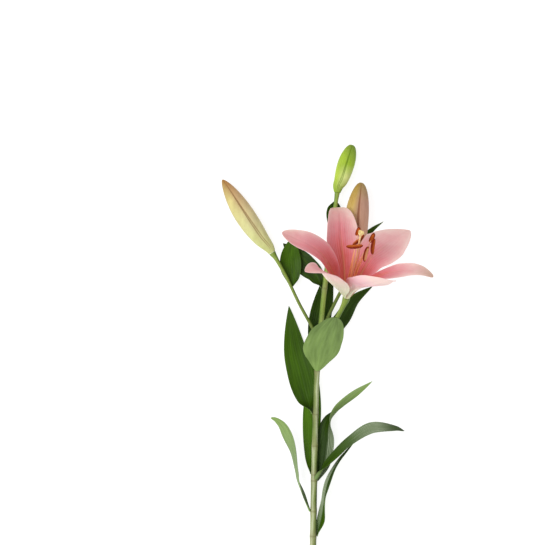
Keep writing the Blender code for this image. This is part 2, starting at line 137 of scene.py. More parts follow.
def frame_along(spine, facing):
    """The lateral and the upper-face direction at each point of a spine."""
    tangent = unit(np.gradient(spine, axis=0))
    face = unit(facing - (facing * tangent).sum(axis=1, keepdims=True) * tangent)
    return np.cross(face, tangent), face


print("helpers ready:", len(smooth_curve([(0, 0, 0), (1, 1, 0), (2, 0, 0)])), "points on a test curve")

# %% [markdown]
# ## Where the plant's own frame sits
# The points are easiest to choose in the plant's own frame: its origin is the fork where the flower
# stalks branch, +Y runs along the stem and +Z points up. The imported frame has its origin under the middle
# of the whole plant instead. One anther, a small piece whose middle is known in both frames, gives the
# shift.

# %% The flower's own directions, and the shift between the frames
MM = 0.001
UP, DOWN = (0, 0, 1), (0, 0, -1)
FLOWER_BASE = np.array((27.0, 43.0, 33.0))
FLOWER_TILT = np.radians(52)  # between the flower's axis and the vertical
FLOWER_HEADING = np.radians(12.5)  # how far the axis leans to the right of the stem's direction
LEVEL = np.array((np.sin(FLOWER_HEADING), np.cos(FLOWER_HEADING), 0))
AXIS = np.sin(FLOWER_TILT) * LEVEL + np.cos(FLOWER_TILT) * np.array(UP)
ACROSS = np.array((np.cos(FLOWER_HEADING), -np.sin(FLOWER_HEADING), 0.0))
DOWNHILL = np.cross(AXIS, ACROSS)  # square to both; it leans down towards the surface
ANTHER_1 = (66, -4.8, -3.9)


def in_flower(along, across, downhill):
    """Points in the flower's own frame, from its foot."""
    ways = zip((along, across, downhill), (AXIS, ACROSS, DOWNHILL))
    return FLOWER_BASE + sum(np.multiply.outer(amount, way) for amount, way in ways)


low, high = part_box("anther_1")
SHIFT = np.array((low + high) / 2) / MM - in_flower(*ANTHER_1)
print("the fork is at", SHIFT.round(2), "mm in the packed frame")

# %% [markdown]
# ## From grids of points to meshes
# Two kinds of mesh make the whole plant. A shell is a thin blade: one grid of points for its upper face,
# one for its lower, and a rim between them, so that it is closed and has a real edge. A spindle is a
# stack of rings, closed at both ends. Both carry attributes, numbers at each point such as how far along
# the blade it lies, and the materials read those.

# %% Mesh helpers
SHARP_EDGE = np.radians(50)


def mark(mesh, marks):
    """Numbers at the points of a mesh, by name."""
    for title, values in marks.items():
        layer = mesh.attributes.new(title, "FLOAT", "POINT")
        layer.data.foreach_set("value", np.asarray(values, np.float32).ravel())


def add_object(name, points, edges, faces, marks):
    """An object from points in the plant's frame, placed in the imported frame, with its marks."""
    mesh = bpy.data.meshes.new(name)
    mesh.from_pydata(((points + SHIFT) * MM).tolist(), edges, faces)
    mark(mesh, marks)
    made = bpy.data.objects.new(name, mesh)
    bpy.context.scene.collection.objects.link(made)
    return made


def smoothed(piece):
    """The piece, shaded smooth but for its sharp edges."""
    piece.data.shade_smooth()
    piece.data.set_sharp_from_angle(angle=SHARP_EDGE)
    return piece


def add_skinned(name, points, faces, material, marks):
    """A smooth mesh in its material."""
    made = smoothed(add_object(name, points, [], faces, marks))
    made.data.materials.append(material)
    return made


def quads(numbers):
    """Faces between neighbours in a table of point numbers, seen with its rows running upwards."""
    corners = (numbers[:-1, :-1], numbers[:-1, 1:], numbers[1:, 1:], numbers[1:, :-1])
    return np.stack(corners, axis=-1).reshape(-1, 4).tolist()


def border(numbers):
    """The point numbers round the outside of a table, back to the first."""
    up, over = numbers[:, 0], numbers[-1, 1:]
    down, back = numbers[-2::-1, -1], numbers[0, -2::-1]
    return np.concatenate([up, over, down, back])


def normals(grid):
    """The upper normal at each point of a grid."""
    return unit(np.cross(np.gradient(grid, axis=0), np.gradient(grid, axis=1)))


def add_shell(name, grid, thickness, material, marks):
    """A closed thin blade round a grid of points, with a thickness at each of them."""
    half = thickness[..., None] / 2 * normals(grid)
    points = np.concatenate([(grid + half).reshape(-1, 3), (grid - half).reshape(-1, 3)])
    upper = np.arange(grid[..., 0].size).reshape(grid.shape[:2])
    lower = upper + upper.size
    rim = quads(np.stack([border(lower), border(upper)]))
    both = {title: [values + np.zeros(upper.shape)] * 2 for title, values in marks.items()}
    both["upper"] = [np.ones(upper.shape), np.zeros(upper.shape)]
    return add_skinned(name, points, quads(lower) + quads(upper[:, ::-1]) + rim, material, both)


def add_spindle(name, rings, material, marks):
    """A closed solid through rings of points, with a fan at each end."""
    numbers = np.arange(rings[..., 0].size).reshape(rings.shape[:2])
    foot = numbers.size
    closed = {}
    for title, values in marks.items():
        values = values + np.zeros(numbers.shape)
        closed[title] = np.append(values.ravel(), values[[0, -1]].mean(axis=1))
    numbers = np.append(numbers, numbers[:, :1], axis=1).tolist()
    fans = [(foot, after, side) for side, after in zip(numbers[0], numbers[0][1:])]
    fans += [(foot + 1, side, after) for side, after in zip(numbers[-1], numbers[-1][1:])]
    points = np.concatenate([rings.reshape(-1, 3), rings[[0, -1]].mean(axis=1)])
    return add_skinned(name, points, quads(np.array(numbers)) + fans, material, closed)


def rings_round(spine, lateral, upward, wide, deep):
    """Rings of points round a spine, from how far each lies to the side and how far up."""
    return spine + wide[..., None] * lateral + deep[..., None] * upward


def stands_for(piece, node):
    """The piece rides on the plant's one body and takes the node's place."""
    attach(piece, "root")
    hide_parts(node)
    print(piece.name, len(piece.data.polygons), "faces")


print("an edge is sharp from", round(np.degrees(SHARP_EDGE)), "degrees")

# %% [markdown]
# ## Node helpers
# Materials and Geometry Nodes trees are both graphs of nodes. A wire stands for what comes out of a node,
# and sums and products of wires add Math nodes, so each graph below reads as a list of short formulas. In
# Blender a node's settings are named in small letters and its sockets with a capital, so one function
# takes both.

# %% Wires and nodes
class Wire:
    """What comes out of a node: its first output in use, or the one that is named in brackets."""

    def __init__(self, tree, node, name=None):
        self.tree, self.node = tree, node
        self.socket = next(s for s in node.outputs if s.enabled and name in (None, s.name))

    def __getitem__(self, name):
        return Wire(self.tree, self.node, name)

    def __add__(self, other):
        return maths("ADD", self, other)

    def __sub__(self, other):
        return maths("SUBTRACT", self, other)

    def __rsub__(self, other):
        return maths("SUBTRACT", other, self)

    def __mul__(self, other):
        return maths("MULTIPLY", self, other)

    __radd__, __rmul__ = __add__, __mul__


def colour(code):
    """A colour written as #RRGGBB, as the linear values that shaders expect."""
    shares = np.array([int(code[start : start + 2], 16) for start in (1, 3, 5)]) / 255
    linear = np.where(shares <= 0.04045, shares / 12.92, ((shares + 0.055) / 1.055) ** 2.4)
    return (*linear, 1.0)


def add_node(tree, kind, *values, **named):
    """A node with its settings and its inputs, which are values or wires, in order or by name."""
    made = tree.nodes.new(kind)
    for title in filter(str.islower, named):
        setattr(made, title, named[title])
    titled = {title.replace("_", " "): value for title, value in named.items() if not title.islower()}
    sockets = [next(s for s in made.inputs if s.enabled and s.name == title) for title in titled]
    for socket, value in zip([*made.inputs[: len(values)], *sockets], [*values, *titled.values()]):
        if isinstance(value, Wire):
            tree.links.new(value.socket, socket)
        else:
            socket.default_value = colour(value) if socket.type == "RGBA" else value
    return Wire(tree, made)


def maths(operation, *values, clamp=False):
    """The result of a Math node."""
    tree = next(value.tree for value in values if isinstance(value, Wire))
    return add_node(tree, "ShaderNodeMath", *values, operation=operation, use_clamp=clamp)


def mix(factor, first, second):
    """Two colours mixed, each a wire or a colour's code."""
    return add_node(factor.tree, "ShaderNodeMix", Factor=factor, A=first, B=second, data_type="RGBA")


def ramp(factor, stops):
    """A colour that changes with a value, through stops of (value, colour)."""
    made = add_node(factor.tree, "ShaderNodeValToRGB", factor)
    elements = made.node.color_ramp.elements
    elements[0].position, elements[-1].position = stops[0][0], stops[-1][0]
    for place, _ in stops[1:-1]:
        elements.new(place)
    for element, (_, code) in zip(elements, stops):
        element.color = colour(code)
    return made


def attributes(tree, names):
    """The values of a mesh's attributes, in a material."""
    return [add_node(tree, "ShaderNodeAttribute", attribute_name=name)["Fac"] for name in names.split()]


def new_group(name, kind, inputs, outputs):
    """A node group with named sockets, and a wire from its inputs."""
    group = bpy.data.node_groups.new(name, kind)
    for direction, sockets in (("INPUT", inputs), ("OUTPUT", outputs)):
        for title, socket_type in sockets.items():
            group.interface.new_socket(title, in_out=direction, socket_type=f"NodeSocket{socket_type}")
    return group, Wire(group, group.nodes.new("NodeGroupInput"))


def give(group, **results):
    """Links wires to a group's outputs."""
    gives = group.nodes.new("NodeGroupOutput")
    for title, wire in results.items():
        group.links.new(wire.socket, gives.inputs[title])
    print(group.name, "has", len(group.nodes), "nodes")


# %% [markdown]
# ## Three effects that the skins share
# Lily leaves and tepals have parallel veins that run from foot to tip and crowd together at both ends.
# That follows for free if the pattern counts across the blade's own width. Streaks are softer bands of
# tone that run the same way, different on every blade. Mottling is for the rest: living tissue is never
# one even tone. Each is a node group, built once and placed in the materials with its own numbers.

# %% Shader groups
OWN_STEP = 7.3  # between two blades' slices of the streaks' noise
STREAK_CONTRAST = 2.6


def shader_group(name, inputs, outputs):
    """A node group of plain numbers for materials, a wire from its inputs, and what adds its nodes."""
    sockets = [dict.fromkeys(titles.split(), "Float") for titles in (inputs, outputs)]
    group, given = new_group(name, "ShaderNodeTree", *sockets)
    return group, given, partial(add_node, group)


veins, given, node = shader_group("Parallel veins", "Across Along Count Width Wander", "Line Ridge")
flow = node("ShaderNodeCombineXYZ", X=given["Across"], Y=given["Along"])
drift = node("ShaderNodeTexNoise", Vector=flow, Scale=3.0, Detail=2.0)
counted = given["Across"] * given["Count"] + (drift - 0.5) * given["Wander"]
triangle = maths("PINGPONG", counted, 0.5)
give(veins, Line=1.0 - maths("DIVIDE", triangle, given["Width"], clamp=True), Ridge=triangle * 2.0)

streaks, given, node = shader_group("Lengthwise streaks", "Across Along Own Count Length", "Tone")
across, along = given["Across"] * given["Count"], given["Along"] * given["Length"]
place = node("ShaderNodeCombineXYZ", X=across, Y=along, Z=given["Own"] * OWN_STEP)
noise = node("ShaderNodeTexNoise", Vector=place, Scale=1.0, Detail=3.0)
give(streaks, Tone=maths("ADD", (noise - 0.5) * STREAK_CONTRAST, 0.5, clamp=True))

sockets = {"Size": "Float", "Stretch": "Vector", "Contrast": "Float"}
mottle, given = new_group("Mottling", "ShaderNodeTree", sockets, {"Tone": "Float"})
place = add_node(mottle, "ShaderNodeTexCoord")["Object"]
stretched = add_node(mottle, "ShaderNodeVectorMath", place, given["Stretch"], operation="MULTIPLY")
scale = maths("DIVIDE", 1.0, given["Size"])
noise = add_node(mottle, "ShaderNodeTexNoise", Vector=stretched, Scale=scale, Detail=4.0)
give(mottle, Tone=maths("ADD", (noise - 0.5) * given["Contrast"], 0.5, clamp=True))


# %% A material with its shader, and a bump under it
SKIN_DEPTH = 0.0006  # how far light scatters under a skin, in metres
SKIN_GLOW = (1.0, 0.7, 0.6)  # red light goes furthest


def mottled(tree, size, contrast, stretch=(1.0, 1.0, 1.0)):
    """Mottling in a material, with the size of its patches in mm."""
    values = dict(Size=size * MM, Stretch=stretch, Contrast=contrast)
    return add_node(tree, "ShaderNodeGroup", node_tree=mottle, **values)["Tone"]


def lined(tree, group, **values):
    """Veins or streaks in a material, from the blade's own attributes."""
    return add_node(tree, "ShaderNodeGroup", node_tree=group, **values)


def new_material(name, roughness, gloss=0.3, subsurface=0.0):
    """A material whose one Principled shader is set, and its node tree."""
    material = bpy.data.materials.new(name)
    material.use_nodes = True
    shader = material.node_tree.nodes["Principled BSDF"]
    finish = {"Roughness": roughness, "Specular IOR Level": gloss, "Subsurface Weight": subsurface}
    glow = {"Subsurface Radius": SKIN_GLOW, "Subsurface Scale": SKIN_DEPTH}
    for title, value in {**finish, **glow}.items():
        shader.inputs[title].default_value = value
    return material, material.node_tree


def finish_material(base, height, strength, depth, **others):
    """Links a material's colour, its relief with a depth in mm, and what else changes over it."""
    tree = base.tree
    bump = add_node(tree, "ShaderNodeBump", Height=height, Strength=strength, Distance=depth * MM)
    for title, wire in {"Base Color": base, "Normal": bump, **others}.items():
        tree.links.new(wire.socket, tree.nodes["Principled BSDF"].inputs[title])


def speckled_material(name, roughness, gloss, size, contrast, dark, light, strength, depth):
    """A skin that is no more than two tones, mottled."""
    material, tree = new_material(name, roughness, gloss)
    tone = mottled(tree, size, contrast)
    finish_material(ramp(tone, [(0.2, dark), (0.8, light)]), tone, strength, depth)
    return material


print(len(bpy.data.node_groups), "groups ready for the materials")

# %% [markdown]
# ## Stem and stalks
# A lily's stem is round, a little ribbed, and swollen where a leaf grows. It follows a line and its size
# changes by a rule along it, so a Geometry Nodes tree sweeps a ribbed ring along each stalk's line. The
# line is a chain of points that carries its own thickness. Curve to Mesh reads that as its scale.

# %% The stalk tree
def shape_group(name, **inputs):
    """A tree that takes a shape, sizes and a skin, a wire from its inputs, and what adds its nodes."""
    sizes = {title.replace("_", " "): kind for title, kind in inputs.items()}
    sockets = {"Geometry": "Geometry", **sizes, "Skin": "Material"}
    tree, given = new_group(name, "GeometryNodeTree", sockets, {"Geometry": "Geometry"})
    return tree, given, partial(add_node, tree)


def in_skin(shape, skin):
    """The shape with all its copies made real and with its material."""
    real = add_node(shape.tree, "GeometryNodeRealizeInstances", Geometry=shape)
    return add_node(shape.tree, "GeometryNodeSetMaterial", Geometry=real, Material=skin)


stalk_tree, given, node = shape_group("Grown stalk", Sides="Int", Ribs="Int", Rib_depth="Float")
line = node("GeometryNodeMeshToCurve", Mesh=given["Geometry"])
ring = node("GeometryNodeCurvePrimitiveCircle", Resolution=given["Sides"], Radius=1.0)
wave = maths("SINE", node("GeometryNodeSplineParameter") * given["Ribs"] * (2 * np.pi))
bulge = (wave - 1.0) * given["Rib depth"]
push = node("ShaderNodeVectorMath", node("GeometryNodeInputPosition"), Scale=bulge, operation="SCALE")
ribbed = node("GeometryNodeSetPosition", Geometry=ring, Offset=push)
thick = node("GeometryNodeInputNamedAttribute", Name="thickness", data_type="FLOAT")
sweep = node("GeometryNodeCurveToMesh", Curve=line, Profile_Curve=ribbed, Scale=thick, Fill_Caps=True)
give(stalk_tree, Geometry=in_skin(sweep, given["Skin"]))


# %% Running a tree and keeping its result
def chain(name, line, radii, **marks):
    """A chain of points that carries its thickness, how far along it is, and marks."""
    links = [(step, step + 1) for step in range(len(line) - 1)]
    marks = {"thickness": radii * MM, "along": np.linspace(0, 1, len(line)), **marks}
    return add_object(name, line, links, [], marks)


def run_tree(maker, tree, **inputs):
    """The plain mesh that a Geometry Nodes tree makes of an object, in that object's place."""
    modifier = maker.modifiers.new(tree.name, "NODES")
    modifier.node_group = tree
    for socket in tree.interface.items_tree:
        title = socket.name.replace(" ", "_")
        if socket.in_out == "INPUT" and title in inputs:
            modifier[socket.identifier] = inputs[title]
    shown = bpy.context.evaluated_depsgraph_get()
    result = bpy.data.meshes.new_from_object(maker.evaluated_get(shown))
    maker.modifiers.remove(modifier)
    maker.data = result
    return maker


def add_stalk(name, line, radii, skin, sides, ribs=9, rib_depth=0.012, **marks):
    """A closed round stalk along a line. Its flank attribute runs from -1 on its left to 1 on its right."""
    sizes = dict(Sides=sides, Ribs=ribs, Rib_depth=rib_depth)
    made = smoothed(run_tree(chain(name, line, radii, **marks), stalk_tree, Skin=skin, **sizes))
    points = np.array([vertex.co for vertex in made.data.vertices]) / MM - SHIFT
    x, radius = (np.interp(points[:, 1], line[:, 1], column) for column in (line[:, 0], radii))
    mark(made.data, {"flank": np.clip((points[:, 0] - x) / radius, -1, 1)})
    return made


print("trees can run")

# %% [markdown]
# ## The green skin of the stalks
# The old part of the stem is olive, and its young top is a clear yellow-green. Light and shade are painted
# across them: one flank is painted pale as lit and the other dark as shaded, the left one lit at the foot
# and the right one higher up, and the painted light comes and goes in patches. The flower stalks are painted
# darker towards their feet as painted shade. Near each leaf the skin is stained, with a thin brown ring at
# the node. Attributes place all that: flank runs from the left side to the right, turned says which flank
# is painted lit, dark says how much painted shade lies on a stalk, and young, scar and ringed say how far
# each change has gone.

# %% Stalk material
# painted shade for the shaded flank, painted light for the lit flank, and the young skin painted darker
# towards its shaded flank
SHADY = [(0.0, "#909C62"), (0.35, "#7C8A50"), (0.7, "#627238"), (1.0, "#465A20")]
PAINTED_LIT_SIDE = [(0.0, "#7E8A54"), (0.3, "#A6AF82"), (0.8, "#BCC39E"), (1.0, "#909C62")]
FRESH_WITH_PAINTED_SHADE = [(0.0, "#93A84C"), (0.5, "#7F9A3A"), (1.0, "#5C7826")]
stalk_skin, tree = new_material("stalk_skin", 0.5, gloss=0.25)
flank, turned, young, dark, scar, ringed = attributes(tree, "flank turned young dark scar ringed")
tone = mottled(tree, 1.2, 2.2, (1.0, 0.06, 1.0))
patch = mottled(tree, 12, 1.8, (1.0, 0.5, 1.0))
# painted light and shade: side is below 0 on the flank painted lit and above it on the flank painted shaded,
# broken up in patches
side = flank * turned + (patch - 0.5) * 0.7
painted_light_and_shade = mix(maths("LESS_THAN", side, 0.0), ramp(side, SHADY), ramp(side + 1.0, PAINTED_LIT_SIDE))
green = mix(young, painted_light_and_shade, ramp(side, FRESH_WITH_PAINTED_SHADE))
# painted shade: the flower stalks darker towards their feet
old = mix(dark * 0.85, green, "#46561A")
streaked = mix(tone * 0.3, old, "#66793A")
stained = mix(maths("MULTIPLY", scar * patch, 0.7, clamp=True), streaked, "#8F8A66")
finish_material(mix(ringed * 0.5, stained, "#646030"), tone, 0.3, 0.3)
print("stalk skin:", len(tree.nodes), "nodes")

# %% [markdown]
# ## Growing the stalks
# The stem runs from its cut end to the terminal bud. Each flower stalk starts on the stem's own line, so
# its foot is hidden in the stem as on a living plant. The lower third of the stem was stripped of its
# leaves.

# %% Stem and pedicels
STALKS = {  # each point: x, y, z and radius
    "stem": [
        (-7.6, -320, 3.4, 3.4), (-6.0, -230, 5.4, 3.3), (-4.9, -160, 7.0, 3.2), (-3.3, -80, 8.6, 2.9),
        (-1.3, -25, 9.8, 2.8), (2.0, 14, 10.6, 2.7), (7.0, 62, 11.2, 2.5), (13.0, 110, 10.6, 2.1),
        (17.2, 138, 9.8, 2.1), (18.6, 147.5, 9.4, 2.7),
    ],
    "flower_pedicel": [
        (0.2, -14, 10.0, 2.1), (9.0, 6, 14.5, 2.1), (18.0, 22, 21.5, 2.3), (23.8, 34, 28.0, 2.6),
        (*(FLOWER_BASE - 4.0 * AXIS), 3.7), (*FLOWER_BASE, 4.0),
    ],
    "tan_bud_pedicel": [
        (1.2, 4, 10.4, 1.7), (9.0, 22, 8.0, 1.7), (22.0, 48, 8.4, 1.8), (30.0, 61, 10.2, 2.0),
        (34.6, 70, 11.4, 2.5), (36.4, 77.5, 11.8, 3.9),
    ],
    "side_bud_pedicel": [
        (0.6, -2, 10.2, 1.6), (-8.0, 15, 10.2, 1.6), (-19.5, 36, 10.3, 1.6), (-31.0, 60, 10.5, 1.6),
        (-42.0, 80, 10.8, 2.1), (-46.8, 87.4, 11.0, 3.6),
    ],
}
LEAF_NODES = (122, 147, 178, 184, 213, 245, 289, 300, 313, 372)  # along the stem, where a leaf grows
NO_NODES = (-100,)  # a flower stalk's only one is far off it
NODE_SWELL = 0.28
NODE_REACH = {"swell": 3.5, "scar": 7.0, "ringed": 0.7}  # how far from a node each change goes
LIT_SIDE = ((195, 1), (235, -1))  # along the stem: the painted light is on the left up to here, on the right from here
YOUNG_PART = (300, 350)  # along the stem, where its skin turns from old to young
PAINTED_SHADE_ON_STALKS = {  # painted shade, at a stalk's foot and at its end
    "stem": (0, 0),
    "flower_pedicel": (0.5, 0),
    "tan_bud_pedicel": (1, 0.6),
    "side_bud_pedicel": (0.9, 0.3),
}
CUT_DEPTH = 0.3  # the stem's skin ends this far behind the cut face
SKIN_SHARE = 0.995  # of the radius: the ribbed skin lies just inside the plain stalk
STALK_SIDES = 40

stalk_lines = {name: smooth_curve(points, 3 * STATIONS) for name, points in STALKS.items()}


def stalk_marks(name, along):
    """The attributes that place the changes in a stalk's skin, at each distance along it."""
    stem = name == "stem"
    near = np.subtract.outer(along, LEAF_NODES if stem else NO_NODES)
    marks = {title: hump(near, reach).sum(axis=1) for title, reach in NODE_REACH.items()}
    marks["scar"] = np.minimum(marks["scar"], 1)
    marks["dark"] = np.interp(along / along[-1], (0, 1), PAINTED_SHADE_ON_STALKS[name])
    marks["turned"] = np.interp(along, *zip(*LIT_SIDE)) if stem else np.ones_like(along)
    marks["young"] = np.interp(along, YOUNG_PART, (0, 1)) if stem else np.ones_like(along)
    return marks


for name, rows in stalk_lines.items():
    line, radii = rows[:, :3].copy(), rows[:, 3]
    marks = stalk_marks(name, lengths_along(line))
    if name == "stem":
        line[0] += CUT_DEPTH * unit(line[1] - line[0])
    radii = SKIN_SHARE * (radii + NODE_SWELL * marks.pop("swell"))
    made = add_stalk(f"lily_{name}", line, radii, stalk_skin, STALK_SIDES, **marks)
    stands_for(made, name)

# %% [markdown]
# ## Leaf scars
# The lower third of the stem was stripped, and each leaf that was pulled off left a low crescent on the
# skin. Leaves grow in a spiral, each about 137.5 degrees round from the one below. So a tree reads places
# at even steps along the stem's line, lays an arc round it at each and turns every arc by that angle from
# the last.

# %% The scar tree
SCAR_ARC, SCAR_SAG, SCAR_BAR = 2.0, 0.3, 0.09  # radians, then shares of the stem's radius
SCAR_TIP = 0.2  # how thick a scar is at its ends, as a share of its middle
SCAR_SEAT = 0.99  # a scar's middle lies at this share of the stem's radius
SCAR_STEPS, BAR_SIDES = 15, 8

sizes = dict(Count="Int", First="Float", Step="Float", Turn="Float")
scar_tree, given, node = shape_group("Leaf scars", **sizes)
line = node("GeometryNodeMeshToCurve", Mesh=given["Geometry"])
number = node("GeometryNodeInputIndex")
thick = node("GeometryNodeInputNamedAttribute", Name="thickness", data_type="FLOAT")
reading = dict(Curves=line, Length=given["First"] + given["Step"] * number, Value=thick)
settings = dict(mode="LENGTH", data_type="FLOAT", use_all_curves=True)
place = node("GeometryNodeSampleCurve", **reading, **settings)
spots = node("GeometryNodePoints", Count=given["Count"], Position=place["Position"])
swell = maths("SINE", node("GeometryNodeSplineParameter") * np.pi)
arc = node("GeometryNodeCurveArc", Resolution=SCAR_STEPS, Radius=SCAR_SEAT, Sweep_Angle=SCAR_ARC)
sag = node("ShaderNodeCombineXYZ", Z=swell * -SCAR_SAG)
bent = node("GeometryNodeSetPosition", Geometry=arc, Offset=sag)
bar = node("GeometryNodeCurvePrimitiveCircle", Resolution=BAR_SIDES, Radius=SCAR_BAR)
girth = swell * (1 - SCAR_TIP) + SCAR_TIP
crescent = node("GeometryNodeCurveToMesh", Curve=bent, Profile_Curve=bar, Scale=girth, Fill_Caps=True)
aimed = node("FunctionNodeAlignRotationToVector", Vector=place["Tangent"], axis="Z")
spin = node("FunctionNodeAxisAngleToRotation", Axis=UP, Angle=given["Turn"] * number)
turned = node("FunctionNodeRotateRotation", Rotation=aimed, Rotate_By=spin, rotation_space="LOCAL")
how = dict(Instance=crescent, Rotation=turned, Scale=place["Value"])
give(scar_tree, Geometry=in_skin(node("GeometryNodeInstanceOnPoints", Points=spots, **how), given["Skin"]))

# %% Growing the scars
SCARS, FIRST_SCAR, SCAR_STEP = 10, 24.0, 9.0  # how many, how far from the cut, and the step between two
SPIRAL = np.radians(137.5)

scar_skin = speckled_material("scar_skin", 0.7, 0.15, 2, 2.0, "#7A6E44", "#A39A6E", 0.4, 0.1)
sizes = dict(Count=SCARS, First=FIRST_SCAR * MM, Step=SCAR_STEP * MM, Turn=SPIRAL)
line, radii = stalk_lines["stem"][:, :3], stalk_lines["stem"][:, 3]
scars = run_tree(chain("lily_leaf_scars", line, radii), scar_tree, Skin=scar_skin, **sizes)
scars.data.shade_smooth()
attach(scars, "root")
print(scars.name, len(scars.data.polygons), "faces")

# %% [markdown]
# ## Leaves
# A lily leaf is a long blade on a midrib. Its foot wraps part of the stalk, then it opens out flat. Its
# upper face is deep green and waxy, its lower face pale and matt. The midrib's points, the way the blade
# faces, its width and how hollow it is are all given in a table. Rows crowd together towards the tip, where
# the outline turns fastest.

# %% The shape of a blade
SHOULDER = 0.85  # how soon a blade broadens above its foot: 1 is gradual, less is sooner
TIP_END = 0.98  # the last row is this far round the quarter turn that crowds the rows
NEARLY_FLAT = 1e-3  # the least half angle (radians) of a hollow


def outline(u, foot, widest, blunt):
    """Half width of a blade as a share of its widest: foot at u 0, 1 at widest, 0 at the tip."""
    rising = foot + (1 - foot) * np.sin(np.pi / 2 * np.clip(u / widest, 0, 1) ** SHOULDER)
    falling = np.cos(np.pi / 2 * np.clip((u - widest) / (1 - widest), 0, 1)) ** blunt
    return np.where(u < widest, rising, falling)


def crowded(rows):
    """Shares of a blade's length, for rows that crowd together towards the tip."""
    return np.sin(np.linspace(0, TIP_END, rows) * np.pi / 2)


def blade(spine, facing, half_width, cup, across, lift=0.0):
    """Rows of points across a blade, each row an arc that is hollow on the upper face."""
    lateral, face = frame_along(spine, facing)
    cup = np.where(np.abs(cup) < NEARLY_FLAT, NEARLY_FLAT, cup)[:, None]
    bend = half_width[:, None] / cup
    sideways, raised = bend * np.sin(cup * across), bend * (1 - np.cos(cup * across)) + lift
    return rings_round(spine[:, None], lateral[:, None], face[:, None], sideways, raised)


print("rows near a tip:", crowded(60)[-4:].round(4))

# %% [markdown]
# ## Leaf skins
# One material holds both faces. The attribute named upper is 1 on the upper face and 0 on the lower, and
# it chooses between the deep green and the pale one. Tone and shade runs from a bright leaf at 0 to a dark
# one at 1; it is partly the leaf's own tone and partly painted shade. Painted sheen says where a whitish
# painted highlight lies, which shows most on the ridges between the veins.

# %% Leaf material
leaf_skin, tree = new_material("leaf_skin", 0.5, gloss=0.12)
across, along, upper, own, age, bloom = attributes(tree, "across along upper own age bloom")
vein = lined(tree, veins, Across=across, Along=along, Count=5.0, Width=0.35, Wander=0.5)
tone = lined(tree, streaks, Across=across, Along=along, Own=own, Count=3.0, Length=2.5)
# each leaf's own tone with painted shade on it, varied by the streaks
toned_and_shaded = age + (tone - 0.5) * 0.35
lush = ramp(toned_and_shaded, [(0.0, "#5C8A16"), (0.5, "#3C5E02"), (1.0, "#203602")])
furrowed = mix(vein["Line"] * 0.3, lush, "#2A4604")
ridges = maths("POWER", vein["Ridge"], 2.0) * (tone * 0.6 + 0.4)
# painted sheen: a whitish painted highlight on the upper face, strongest on the ridges between the veins,
# and a pale one on the lower face
sheen_streaks = maths("MULTIPLY", bloom, ridges * 1.5 + 0.2, clamp=True)
pale = ramp(toned_and_shaded, [(0.0, "#9CC052"), (0.5, "#7F9A54"), (1.0, "#566C36")])
ribbed = mix(vein["Line"] * 0.08, pale, "#9DB47E")
both = mix(upper, mix(bloom * 0.6, ribbed, "#B9C9AE"), mix(sheen_streaks, furrowed, "#B8C6A6"))
relief = vein["Ridge"] * (upper * 0.75 + 0.25)
finish_material(both, relief, 0.4, 0.2, Roughness=0.7 - upper * 0.25)
print("leaf skin:", len(tree.nodes), "nodes")
